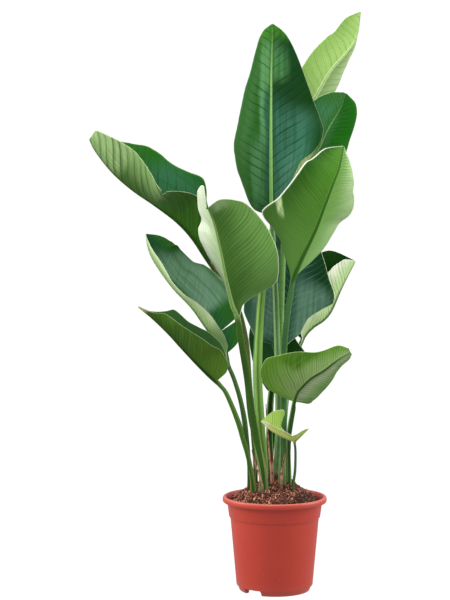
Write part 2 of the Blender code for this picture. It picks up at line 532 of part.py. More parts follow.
def sheath_slot(name, sheath, cutters):
    """A slot that a dried sheath stands in."""
    x, y, _ = sheath["path"][0]
    face = Vector(sheath["face"])
    cutter(name, (x, y, ROOT_Z + 10 - FOOT_GAP), math.atan2(face.y, face.x) - math.pi / 2,
           (2 * (sheath["half_width"] + HOLE_ROOM), 0.5 * sheath["half_width"] + 0.3, 20), cutters)


def build():
    for thing in list(bpy.data.objects):
        bpy.data.objects.remove(thing)
    plant = bpy.data.collections.new("potted bird of paradise")
    pot_cutters = bpy.data.collections.new("pot cutters")
    stem_cutters = bpy.data.collections.new("stalk cutters")
    for collection in (plant, pot_cutters, stem_cutters):
        bpy.context.scene.collection.children.link(collection)
    green = paint("leaf", (0.05, 0.17, 0.04), 0.4)
    for name, leaf in LEAVES.items():
        make_sheet(name, [row_points(row) for row in leaf_rows(leaf)], plant, green)
        stalk_hole("hole_" + name, leaf, stem_cutters)
    straw = paint("dried sheath", (0.42, 0.2, 0.09), 0.8)
    for name, sheath in SHEATHS.items():
        make_sheet(name, strip_rows(sheath), plant, straw)
        sheath_slot("slot_" + name, sheath, stem_cutters)
    make_pot(plant, pot_cutters)
    make_mix(plant, stem_cutters)


build()
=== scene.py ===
"""Looks of the potted giant white bird of paradise: pot, coir mix, leaves and dried sheaths.

Sizes and places of the pieces are in centimetres until CM turns them into metres, and those
of the studio are in metres. +Y points away from the viewer, and the origin is on the pot's
axis, on the floor.
"""
import math
from functools import partialmethod

import bpy
import numpy as np
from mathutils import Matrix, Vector, noise


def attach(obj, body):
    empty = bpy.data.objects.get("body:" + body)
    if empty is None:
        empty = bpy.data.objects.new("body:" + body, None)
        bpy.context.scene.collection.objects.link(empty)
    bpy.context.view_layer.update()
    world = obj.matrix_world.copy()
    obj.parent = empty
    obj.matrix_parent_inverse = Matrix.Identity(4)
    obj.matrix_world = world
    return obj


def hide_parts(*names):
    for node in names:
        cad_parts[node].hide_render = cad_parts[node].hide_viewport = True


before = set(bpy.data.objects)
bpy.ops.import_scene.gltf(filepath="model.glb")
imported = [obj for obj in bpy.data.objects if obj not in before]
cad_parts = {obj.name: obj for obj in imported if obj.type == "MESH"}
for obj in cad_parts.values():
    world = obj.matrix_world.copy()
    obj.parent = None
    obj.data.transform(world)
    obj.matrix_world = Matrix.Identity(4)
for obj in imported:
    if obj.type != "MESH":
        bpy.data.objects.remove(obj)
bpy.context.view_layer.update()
CM = 0.01
bpy.ops.object.select_all(action="DESELECT")


# Pot: a nursery pot of injection-moulded plastic in a terracotta colour, 24 cm across its rim.
# The wall is one turned shell with a rolled rim, a collar, a foot ring and a raised middle pad,
# and the drain holes and the two foot notches are left open by the mould.
class Wire:
    """A value in a material's nodes. Python arithmetic on it adds Math nodes."""

    def __init__(self, tree, socket):
        self.tree, self.socket = tree, socket

    def math(self, operation, *others):
        node = self.tree.nodes.new("ShaderNodeMath")
        node.operation = operation
        for socket, value in zip(node.inputs, (self, *others)):
            plug(self.tree, socket, value)
        return Wire(self.tree, node.outputs[0])

    __add__ = __radd__ = partialmethod(math, "ADD")
    __mul__ = __rmul__ = partialmethod(math, "MULTIPLY")
    __sub__ = partialmethod(math, "SUBTRACT")
    __truediv__ = partialmethod(math, "DIVIDE")
    __pow__ = partialmethod(math, "POWER")
    __abs__ = partialmethod(math, "ABSOLUTE")

    def __neg__(self):
        return self * -1

    def __rsub__(self, other):
        return -self + other


def plug(tree, socket, value):
    """Gives a socket a wire, a number or a colour."""
    if isinstance(value, Wire):
        tree.links.new(value.socket, socket)
    elif socket.type == "RGBA":
        socket.default_value = (*value, 1)
    else:
        socket.default_value = value


class Finish:
    """A Principled material whose pattern nodes are added one by one."""

    def __init__(self, name, **constants):
        self.material = bpy.data.materials.new(name)
        self.material.use_nodes = True
        self.tree = self.material.node_tree
        self.shader = self.tree.nodes["Principled BSDF"]
        for socket, value in constants.items():
            plug(self.tree, self.shader.inputs[socket.replace("_", " ")], value)

    def node(self, kind, inputs=(), out=0, **settings):
        """The wire from an output of a new node with these settings and inputs."""
        node = self.tree.nodes.new("ShaderNode" + kind)
        for setting, value in settings.items():
            setattr(node, setting, value)
        for socket, value in dict(inputs).items():
            plug(self.tree, node.inputs[socket], value)
        return Wire(self.tree, node.outputs[out])

    def mix(self, share, first, second):
        """The first colour, turning into the second one as share goes from 0 to 1."""
        return self.node("Mix", {0: share, 6: first, 7: second}, out=2, data_type="RGBA")

    def paint(self, colour, *layers):
        """The colour with (share, tone) layers laid over it in turn."""
        for share, tone in layers:
            colour = self.mix(share, colour, tone)
        return colour

    def rise(self, value, low, high):
        """0 up to low, 1 from high on, and smooth between them."""
        return self.node("MapRange", {0: value, 1: low, 2: high},
                         interpolation_type="SMOOTHSTEP")

    def fall(self, value, low, high):
        """1 up to low, 0 from high on, and smooth between them."""
        return 1 - self.rise(value, low, high)

    def attribute(self, name):
        return self.node("Attribute", out="Fac", attribute_name=name)

    def grain(self, vector, scale, detail=2.0):
        """A noise pattern from 0 to 1."""
        return self.node("TexNoise", {"Vector": vector, "Scale": scale, "Detail": detail})

    def vector(self, x, y, z=0.0):
        return self.node("CombineXYZ", {0: x, 1: y, 2: z})

    def bump(self, height, distance, strength=1.0):
        """Lets a pattern raise the surface by up to a distance in metres."""
        self.feed("Normal", self.node(
            "Bump", {"Height": height, "Distance": distance, "Strength": strength}))

    def feed(self, socket, value):
        plug(self.tree, self.shader.inputs[socket], value)


def tint(red, green, blue):
    """A colour given as on a screen, 0 to 255, as the light it stands for."""
    return tuple(((c / 255 + 0.055) / 1.055) ** 2.4 for c in (red, green, blue))


def rounded(corners, radius, steps=3):
    """A turned outline with each inner corner replaced by a short curve."""
    outline = [corners[0]]
    for a, b, c in zip(corners, corners[1:], corners[2:]):
        a, b, c = Vector(a), Vector(b), Vector(c)
        start, end = (b + (side - b).normalized() * min(radius, (side - b).length * 0.45)
                      for side in (a, c))
        for k in range(steps + 1):
            u = k / steps
            outline.append(start * (1 - u) ** 2 + b * 2 * u * (1 - u) + end * u * u)
    return [tuple(p) for p in outline] + [corners[-1]]


def turn_up(name, outline, sides):
    """A turned solid: a ring is extruded from point to point of its outline, and both ends
    are closed. The outline runs over the outer side first, in (radius, height)."""
    radius, height = outline[0]
    bpy.ops.mesh.primitive_circle_add(vertices=sides, radius=radius * CM,
                                      location=(0, 0, height * CM), fill_type="NGON")
    piece = bpy.context.object
    piece.name = name
    bpy.ops.object.transform_apply()
    bpy.ops.object.mode_set(mode="EDIT")
    bpy.ops.mesh.select_mode(type="EDGE")
    bpy.ops.mesh.select_all(action="SELECT")
    for (r0, z0), (r1, z1) in zip(outline, outline[1:]):
        bpy.ops.mesh.extrude_edges_move(TRANSFORM_OT_translate={"value": (0, 0, (z1 - z0) * CM)})
        bpy.ops.transform.resize(value=(r1 / r0, r1 / r0, 1), center_override=(0, 0, 0))
    bpy.ops.mesh.edge_face_add()
    bpy.ops.mesh.select_all(action="SELECT")
    bpy.ops.mesh.normals_make_consistent(inside=False)
    bpy.ops.object.mode_set(mode="OBJECT")
    return piece


def punch(piece, cutter):
    """Takes the cutter's shape out of the piece, and the cutter out of the scene."""
    hole = piece.modifiers.new("hole", "BOOLEAN")
    hole.object = cutter
    hole.solver = "EXACT"
    bpy.context.view_layer.objects.active = piece
    bpy.ops.object.modifier_apply(modifier="hole")
    bpy.data.objects.remove(cutter)


def on_ring(radius, turn, height=0):
    """A place on a ring round the pot's axis, in metres."""
    return (radius * math.cos(turn) * CM, radius * math.sin(turn) * CM, height * CM)


POT_HEIGHT = 21.7
POT_OUTLINE = (
    (3, 0), (3.2, 0.8), (6.9, 0.8), (7.1, 0), (8.1, 0), (8.4, 0.9), (8.8, 1.25), (10.15, 16.2),
    (10.25, 16.85), (10.5, 17), (10.95, POT_HEIGHT - 1.4), (11.75, POT_HEIGHT - 1.35),
    (12, POT_HEIGHT - 1.1), (12, POT_HEIGHT - 0.3), (11.75, POT_HEIGHT), (11.3, POT_HEIGHT),
    (11.1, POT_HEIGHT - 0.3), (10.7, 20.4), (10.05, 17), (9.8, 16), (8.3, 1.05))
POT_SIDES = 160
DRAINS = 6
DRAIN_RING = 5
DRAIN_RADIUS = 0.6
NOTCH_TURNS = (-129, 51)
NOTCH_RING = 7.9
NOTCH_SIZE = (3, 4.5, 2.5)
SMOOTH_UP_TO = 35

pot = turn_up("nursery_pot", rounded(POT_OUTLINE, 0.2), POT_SIDES)
for k in range(DRAINS):
    turn = math.tau * (k + 0.5) / DRAINS
    bpy.ops.mesh.primitive_cylinder_add(vertices=24, radius=DRAIN_RADIUS * CM, depth=2 * CM,
                                        location=on_ring(DRAIN_RING, turn, 1))
    punch(pot, bpy.context.object)
for degrees in NOTCH_TURNS:
    turn = math.radians(degrees)
    bpy.ops.mesh.primitive_cube_add(size=1, location=on_ring(NOTCH_RING, turn),
                                    rotation=(0, 0, turn))
    notch = bpy.context.object
    notch.scale = [side * CM for side in NOTCH_SIZE]
    bpy.context.view_layer.update()
    punch(pot, notch)
pot.select_set(True)
bpy.ops.object.shade_smooth_by_angle(angle=math.radians(SMOOTH_UP_TO))
pot.select_set(False)

plastic = Finish("terracotta plastic", Specular_IOR_Level=0.5)
spot = plastic.node("TexCoord", out="Object")
height = plastic.node("SeparateXYZ", {0: spot}, out="Z") / CM
rings = plastic.grain(plastic.vector(height * 4, 0.5), 1, 3)
cloud = plastic.grain(spot, 18, 3)
scuff = plastic.grain(spot, 260, 3)
low_wear = plastic.fall(height + cloud * 3, 1.5, 5) * scuff
colour = plastic.paint(
    plastic.mix(cloud, tint(178, 47, 28), tint(188, 56, 36)),
    (plastic.rise(rings, 0.4, 0.75) * 0.14, tint(160, 52, 38)),
    (plastic.rise(scuff, 0.6, 0.75) * 0.1, tint(214, 140, 122)),
    (low_wear * 0.25, tint(196, 110, 92)),
    # Painted highlights: the rim's upper zone is painted lighter, and its top edge carries a painted
    # highlight line.
    (plastic.rise(height, 20.7, 21.3) * 0.16, tint(214, 108, 88)),
    (plastic.rise(height, 21.4, 21.65) * 0.3, tint(226, 150, 130)))
plastic.feed("Base Color", colour)
plastic.feed("Roughness", 0.34 + cloud * 0.12 + scuff * 0.1)
plastic.bump(rings * 0.4 + scuff * 0.25, 0.0003, 0.5)
pot.data.materials.append(plastic.material)
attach(pot, "root")
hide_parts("pot")


# Potting mix: damp coir that fills the pot to just under its rim and stands higher round the
# stalks. Short chips of husk and loose fibres lie all over it. Only its top is made here.
MIX_EDGE_Z = 20.2
MIX_EDGE = 10.56
MOUND_RINGS = 70
MOUND_SIDES = 200
MOUND_DEPTH = 2
LUMP = 0.22
CHIPS = 3800
FIBRES = 1600
SINK = 0.1
SLOPE_STEP = 0.3
pick = np.random.default_rng(11)


def mix_height(x, y):
    """The height of the potting mix's top."""
    reach = np.hypot(x, y) / 11
    clump = np.hypot(x - 0.6, y - 1) / 4.1
    dip = 0.35 * np.clip((reach - 0.78) / 0.18, 0, 1) ** 2
    return (MIX_EDGE_Z + 4.2 * np.maximum(0, 1 - reach ** 2) + 2.2 * np.exp(-clump ** 4)
            - dip)


def sheet_of(name, points):
    """A sheet through a grid of points in centimetres."""
    rows, columns, _ = points.shape
    bpy.ops.mesh.primitive_grid_add(x_subdivisions=columns - 1, y_subdivisions=rows - 1, size=1)
    piece = bpy.context.object
    piece.name = name
    piece.data.vertices.foreach_set("co", (points * CM).ravel())
    return piece


reach, turn = np.meshgrid(MIX_EDGE * np.linspace(1, 0, MOUND_RINGS),
                          np.linspace(0, math.tau, MOUND_SIDES + 1), indexing="ij")
flat = np.stack([reach * np.cos(turn), reach * np.sin(turn)], axis=-1)
lump = np.array([[noise.fractal((x, y, 3), 1, 2, 4) for x, y in row * 1.3] for row in flat])
lump[:, -1] = lump[:, 0]
lump[-1] = lump[-1, 0]
top = mix_height(flat[..., 0], flat[..., 1]) + LUMP * lump - 0.05
mound = sheet_of("coir_mound", np.concatenate([flat, top[..., None]], axis=-1))
bpy.ops.object.mode_set(mode="EDIT")
bpy.ops.mesh.select_all(action="SELECT")
bpy.ops.mesh.remove_doubles(threshold=0.00001)
bpy.ops.mesh.select_all(action="DESELECT")
bpy.ops.mesh.select_mode(type="EDGE")
bpy.ops.mesh.select_non_manifold()
bpy.ops.mesh.extrude_edges_move(TRANSFORM_OT_translate={"value": (0, 0, -MOUND_DEPTH * CM)})
bpy.ops.mesh.edge_face_add()
bpy.ops.mesh.select_all(action="SELECT")
bpy.ops.mesh.normals_make_consistent(inside=False)
bpy.ops.object.mode_set(mode="OBJECT")
bpy.ops.object.shade_smooth()
mound.select_set(False)


def keep(piece, name, values):
    """Keeps a value for each point of a piece as an attribute."""
    piece.data.attributes.new(name, "FLOAT", "POINT").data.foreach_set("value", values.ravel())


def turned(p, q, angle):
    """Two coordinates of every copy's points, each copy turned by its own angle."""
    c, s = np.cos(angle)[:, None], np.sin(angle)[:, None]
    return p * c - q * s, p * s + q * c


def strew(name, template, count, size, tilt):
    """Copies of a template strewn over the mix as one mesh. Each has its own place, turn,
    tilt, size and tone."""
    shape = np.array([v.co for v in template.data.vertices])
    faces = np.array([p.vertices for p in template.data.polygons])
    bpy.data.objects.remove(template)
    reach = (MIX_EDGE - 1) * np.sqrt(pick.uniform(0, 1, count))
    turn = pick.uniform(0, math.tau, count)
    x, y = reach * np.cos(turn), reach * np.sin(turn)
    z = mix_height(x, y) - SINK * pick.uniform(-0.6, 1, count)
    lean = np.stack([mix_height(x + SLOPE_STEP, y) - mix_height(x - SLOPE_STEP, y),
                     mix_height(x, y + SLOPE_STEP) - mix_height(x, y - SLOPE_STEP)],
                    axis=1) / (2 * SLOPE_STEP)
    spin = pick.uniform(0, math.tau, count)
    pitch = pick.normal(0, tilt, count)
    roll = pick.normal(0, tilt, count)
    scale = pick.uniform(*size, (count, 1)) * pick.uniform(0.75, 1.25, (count, 3))
    p = shape[None] * scale[:, None]
    px, py, pz = p[..., 0], p[..., 1], p[..., 2]
    py, pz = turned(py, pz, roll)
    pz, px = turned(pz, px, pitch)
    px, py = turned(px, py, spin)
    pz = pz + px * lean[:, :1] + py * lean[:, 1:]
    points = np.stack([px + x[:, None], py + y[:, None], pz + z[:, None]], axis=-1) * CM
    far_out = np.hypot(points[..., 0], points[..., 1])
    points[..., :2] *= np.minimum(1, (MIX_EDGE - 0.1) * CM / far_out)[..., None]
    corners = faces[None] + len(shape) * np.arange(count)[:, None, None]
    mesh = bpy.data.meshes.new(name)
    mesh.from_pydata(points.reshape(-1, 3).tolist(), [], corners.reshape(-1, 4).tolist())
    strewn = bpy.data.objects.new(name, mesh)
    bpy.context.collection.objects.link(strewn)
    keep(strewn, "tone", np.repeat(pick.uniform(0, 1, count), len(shape)))
    return strewn


bpy.ops.mesh.primitive_cube_add(size=1)
chip = bpy.context.object
bpy.ops.object.mode_set(mode="EDIT")
bpy.ops.mesh.subdivide(number_cuts=1)
bpy.ops.mesh.vertices_smooth(factor=0.5, repeat=1)
bpy.ops.object.mode_set(mode="OBJECT")
for vertex in chip.data.vertices:
    x, y, z = vertex.co
    vertex.co = (x * 1.5, y * (0.3 - 0.12 * x), z * 0.16 + 0.3 * x * x)
chips = strew("coir_chips", chip, CHIPS, (0.28, 0.95), 0.5)

bpy.ops.mesh.primitive_cylinder_add(vertices=4, radius=0.045, depth=3, end_fill_type="NGON",
                                    rotation=(0, math.pi / 2, 0))
fibre = bpy.context.object
bpy.ops.object.transform_apply()
bpy.ops.object.mode_set(mode="EDIT")
for cut in (-1.1, -0.65, -0.2, 0.25, 0.7, 1.15):
    bpy.ops.mesh.select_all(action="SELECT")
    bpy.ops.mesh.bisect(plane_co=(cut, 0, 0), plane_no=(1, 0, 0))
bpy.ops.object.mode_set(mode="OBJECT")
for vertex in fibre.data.vertices:
    x, y, z = vertex.co
    thin = 1 - 0.5 * abs(x) / 1.5
    vertex.co = (x, y * thin + 0.28 * math.sin(1.5 * x), z * thin - 0.1 * x * x + 0.12)
fibres = strew("coir_fibres", fibre, FIBRES, (0.45, 1.15), 0.3)

coir = Finish("coir")
spot = coir.node("TexCoord", out="Object")
crumb = coir.grain(spot, 420, 4)
damp = coir.grain(spot, 30, 2)
tone = coir.attribute("tone")
x, y = (coir.node("SeparateXYZ", {0: spot}, out=axis) for axis in "XY")
outward = (x * x + y * y) ** 0.5 / CM
colour = coir.paint(
    coir.mix(coir.rise(crumb, 0.3, 0.7), tint(58, 25, 15), tint(118, 58, 39)),
    (coir.rise(tone + damp * 0.2, 0.76, 0.92), tint(206, 140, 110)),
    (coir.fall(tone, 0.2, 0.5) * 0.85, tint(44, 18, 12)),
    # Painted shade: the mix darkens towards the pot wall, where the rim shades it, and more on the right.
    (coir.rise(outward + x / CM * 0.25, 8.6, 11) * 0.65, tint(48, 20, 14)))
coir.feed("Base Color", colour)
coir.feed("Roughness", 0.78 + crumb * 0.2)
coir.bump(crumb, 0.0012, 0.8)
for piece in (mound, chips, fibres):
    piece.data.materials.append(coir.material)
    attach(piece, "root")
    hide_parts("potting_mix")


# Leaves: each grew in one piece, as a long channelled stalk, a midrib and a blade of two
# halves with close side veins. One sheet is laid along the stalk and the rib, given its relief
# of veins and ruffles by formula, and thickened downwards, most of all at the keel.
ROOT_Z = 18
CURVE_STEPS = 24
STALK_MARGIN = 0.3
STALK_FOLD = 32
HOLLOW_FROM = 27
HOLLOW_OVER = 12
OPENS_FROM = 0.93
OPENS_OVER = 0.07
BLADE_THICKNESS = 0.06
LEAST_HALF = 0.12
KEEL_TIP = 0.12
KEEL_REACH = 0.55
RIB_CHANNEL = 0.05
VEIN_SLANT = 0.35
VEIN_BEND = 1.7
RUFFLE = 0.04
RUFFLE_STEP = 7
SWAY = 0.03
SWAY_STEP = 8.3
PLAIN_ENDS = 0.06
ROW_STEP = 0.24
STALK_STEP = 0.7
WAY_STEP = 0.4
TEAR_ROWS = np.array([-1, -0.6, -0.25, 0, 0.25, 0.6, 1])
RIB_COLUMNS = (0.1, 0.19, 0.28, 0.4, 0.55)
BLADE_COLUMNS = 17


def between(stops, at):
    """Values at an array of shares, on a smooth line through {percent: value} stops that stays
    level at each highest or lowest stop. A lone value holds everywhere."""
    at = np.asarray(at, float)
    if not isinstance(stops, dict):
        return np.full_like(at, stops)
    places = np.array(list(stops), float) / 100
    values = np.array(list(stops.values()), float)
    spans = np.diff(places)
    climbs = np.diff(values) / spans
    slopes = np.concatenate([climbs[:1], np.zeros(len(climbs) - 1), climbs[-1:]])
    for k, (left, right) in enumerate(zip(climbs, climbs[1:]), 1):
        if left * right > 0:
            slopes[k] = 2 * left * right / (left + right)
    i = np.clip(np.searchsorted(places, at, side="right") - 1, 0, len(spans) - 1)
    u = np.clip((at - places[i]) / spans[i], 0, 1)
    return (values[i] * (1 + 2 * u) * (1 - u) ** 2 + values[i + 1] * u * u * (3 - 2 * u)
            + spans[i] * (slopes[i] * u * (1 - u) ** 2 - slopes[i + 1] * u * u * (1 - u)))


def smooth_up(points):
    """Points along a Catmull-Rom curve from the root's height through the given points, and
    how far along the curve each one is."""
    given = np.array([(*points[0][:2], ROOT_Z), *points], float)
    held = np.vstack([2 * given[0] - given[1], given, 2 * given[-1] - given[-2]])
    u = np.linspace(0, 1, CURVE_STEPS, endpoint=False)[:, None]
    spans = [0.5 * (2 * b + (c - a) * u + (2 * a - 5 * b + 4 * c - d) * u ** 2
                    + (3 * b - a - 3 * c + d) * u ** 3)
             for a, b, c, d in zip(held, held[1:], held[2:], held[3:])]
    curve = np.vstack([*spans, given[-1:]])
    steps = np.linalg.norm(np.diff(curve, axis=0), axis=1)
    return curve, np.concatenate([[0], np.cumsum(steps)])


def points_at(at, places, points):
    """Points at an array of places, on straight lines between points at known places."""
    return np.stack([np.interp(at, places, axis) for axis in np.transpose(points)], axis=1)


def unit(vectors):
    return vectors / np.linalg.norm(vectors, axis=-1, keepdims=True)


def squared(face, ahead):
    """The direction nearest to face that is square to the way ahead."""
    return unit(face - ahead * (face * ahead).sum(1, keepdims=True))


def fade(value):
    """0 below 0, 1 above 1, and smooth between."""
    value = np.clip(value, 0, 1)
    return value * value * (3 - 2 * value)


def rows_along(stalk, rib, tears):
    """Places and directions along a stalk and its rib. The rows are a little closer towards
    the stalk's top, and closest at the tears of the blade."""
    curve, far = smooth_up([*stalk, *rib])
    stalk_length = far[(len(stalk) + 1) * CURVE_STEPS]
    rib_length = far[-1] - stalk_length
    steps = int(stalk_length / STALK_STEP)
    stalk_at = stalk_length * (1 - (1 - np.arange(steps) / steps) ** 1.15)
    shares = np.linspace(0, 1, int(rib_length / ROW_STEP))
    for _, place, _, gape in tears:
        away = shares[abs(shares - place) > gape]
        shares = np.sort(np.concatenate([away, place + gape * TEAR_ROWS]))
    at = np.concatenate([stalk_at, stalk_length + rib_length * shares])
    ahead = points_at(at + WAY_STEP, far, curve) - points_at(at - WAY_STEP, far, curve)
    return points_at(at, far, curve), unit(ahead), at - stalk_length, stalk_length, rib_length


def sheet(name, points, thickness, marks):
    """A sheet through a grid of points in centimetres, thickened on its underside, with its
    marks kept as attributes. The mark "under" is 0 on the upper side and 1 on the other."""
    piece = sheet_of(name, points)
    for mark, values in marks.items():
        keep(piece, mark, values)
    group = piece.vertex_groups.new(name="thickness")
    levels = np.round(thickness / thickness.max(), 2).ravel()
    for level in np.unique(levels):
        group.add(np.flatnonzero(levels == level).tolist(), float(level), "REPLACE")
    solid = piece.modifiers.new("thickness", "SOLIDIFY")
    solid.thickness = thickness.max() * CM
    solid.offset = -1
    solid.vertex_group = "thickness"
    bpy.ops.object.modifier_apply(modifier="thickness")
    under = np.zeros(len(piece.data.vertices))
    under[thickness.size:] = 1
    keep(piece, "under", under)
    bpy.ops.object.shade_smooth()
    piece.select_set(False)
    return piece


def grow_leaf(name, node, stalk, stalk_half, rib, face, edge_a, fold_a, edge_b, fold_b,
              curl_a=0, curl_b=0, lobe=1.2, pleats=(1.2, 0.014), tears=(), **skin):
    """A leaf from its recipe, standing in for the CAD's leaf. Places along the blade are in
    percent. The upper side faces the given ways at the root and at the start, middle and tip
    of the blade, and the last way holds on. On that side, with the tip up, half a is the left
    one. An edge gives its width, a fold its degrees up from flat, a curl the further degrees
    towards the margin, and the lobe how far its base reaches back. Pleats have a step and a
    depth. A tear has a half, a place, a depth in percent of the width, and a gape."""
    tears = [(torn, *(np.array(sizes) / 100)) for torn, *sizes in tears]
    centre, ahead, along, stalk_length, rib_length = rows_along(stalk, rib, tears)
    on_stalk = along < -1e-6
    up_stalk = np.clip(along / stalk_length + 1, 0, 1)
    up_blade = np.clip(along / rib_length, 0, 1)
    place = np.where(on_stalk, up_stalk, 1 + up_blade)
    up = squared(points_at(place, (0, 1, 1.5, 2)[:len(face)], face), ahead)
    across = np.cross(ahead, up)
    root, middle, top = stalk_half
    stalk_half = between({0: root, 35: middle, 100: top}, up_stalk)
    stalk_keel = stalk_half * between({0: 1, 35: 1.2, 100: 1.3}, up_stalk)
    blade_keel = between({0: top * 1.3, 30: 0.45, 100: KEEL_TIP}, up_blade)
    keel = np.where(on_stalk, stalk_keel, blade_keel)[:, None]
    hollow = np.clip((centre[:, 2] - HOLLOW_FROM) / HOLLOW_OVER, 0, 1)[:, None]
    lobe = np.where(on_stalk, 0, lobe * np.clip(1 - up_blade / 0.3, 0, 1) ** 2)[:, None]
    blade_share = np.where(on_stalk, fade((up_stalk - OPENS_FROM) / OPENS_OVER), 1)[:, None]
    grown = fade(np.minimum(up_blade, 1 - up_blade) / PLAIN_ENDS)[:, None]
    pleat_step, pleat_depth = pleats
    halves = []
    for side, sign, edge, fold, curl in (("a", -1, edge_a, fold_a, curl_a),
                                         ("b", 1, edge_b, fold_b, curl_b)):
        half = between(edge, up_blade)
        for torn, at, depth, gape in tears:
            if torn == side:
                half = half * (1 - depth * np.clip(1 - np.abs(up_blade - at) / gape, 0, 1))
        half = np.maximum(half, np.maximum(LEAST_HALF, top * (1 - up_blade * 12)))
        half = np.where(on_stalk, stalk_half, half)[:, None]
        near = [np.minimum(0.055 * k, column / half) for k, column in enumerate(RIB_COLUMNS, 1)]
        spread = [near[-1] + (1 - near[-1]) * (k / BLADE_COLUMNS) ** 0.92
                  for k in range(1, BLADE_COLUMNS + 1)]
        share = np.hstack(near + spread)
        fold = np.radians(between(fold, up_blade))[:, None]
        curl = np.radians(between(curl, up_blade))[:, None]
        curl = np.where(np.abs(curl) < 0.002, 0.002, curl)
        turn = fold + curl * share
        out = (np.sin(turn) - np.sin(fold)) / curl
        rise = (np.cos(fold) - np.cos(turn)) / curl
        reach = share * half
        ridge = np.exp(-(reach / (KEEL_REACH * 0.5)) ** 2)
        blade_thick = BLADE_THICKNESS + (keel - BLADE_THICKNESS) * ridge
        round_off = 1 - np.sqrt(1 - share ** 2 * 0.999)
        stalk_rise = (hollow * math.sin(math.radians(STALK_FOLD)) * share
                      - (1 - hollow) * 0.5 * keel / half * round_off)
        stalk_thick = np.maximum(STALK_MARGIN * half, keel * (1 - round_off))
        out = blade_share * out + (1 - blade_share) * share
        rise = blade_share * rise + (1 - blade_share) * stalk_rise
        thick = blade_share * blade_thick + (1 - blade_share) * stalk_thick
        back = lobe * share ** 2 * np.minimum(1, half / 6)
        vein = along[:, None] - (reach * VEIN_SLANT + VEIN_BEND * (1 - np.exp(-reach / 2))
                                 + half * 0.22 * share ** 3)
        relief = -pleat_depth * np.cos(math.tau * vein / pleat_step) * fade(reach / 1.2)
        for depth, step, power in ((SWAY, SWAY_STEP, 1), (RUFFLE, RUFFLE_STEP, 4)):
            relief = relief + depth * share ** power * np.sin(
                math.tau * along[:, None] / step + sign)
        relief = relief * grown - RIB_CHANNEL * np.exp(-(reach / 0.16) ** 2) * grown
        points = (centre[:, None] + across[:, None] * (sign * out * half)[..., None]
                  + up[:, None] * (rise * half)[..., None] - ahead[:, None] * back[..., None])
        tilt = blade_share * turn
        normal = (up[:, None] * np.cos(tilt)[..., None]
                  - across[:, None] * (sign * np.sin(tilt))[..., None])
        points = points + normal * relief[..., None]
        halves.append(dict(points=points, thickness=thick, across=sign * reach, vein=vein,
                           margin=half - reach))
    a, b = halves
    middle_half = np.where(on_stalk, stalk_half, 0.5 * (a["margin"][:, 0] + b["margin"][:, 0]))
    middle_row = dict(points=centre - up * (RIB_CHANNEL * grown), thickness=keel[:, 0],
                      across=0 * along, vein=along, margin=middle_half)
    marks = {key: np.concatenate([a[key][:, ::-1], middle_row[key][:, None], b[key]], axis=1)
             for key in a}
    points, thickness = marks.pop("points"), marks.pop("thickness")
    marks["along"] = np.repeat(along[:, None], points.shape[1], axis=1)
    piece = sheet(name, points, thickness, marks)
    piece.data.materials.append(leaf_skin(name, rib_length, pleat_step, **skin))
    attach(piece, "root")
    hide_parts(node)


RIB_GREEN = tint(140, 184, 112)
MARGIN_CREAM = tint(205, 218, 168)
SALMON = tint(188, 118, 84)
STRAW = tint(168, 172, 122)


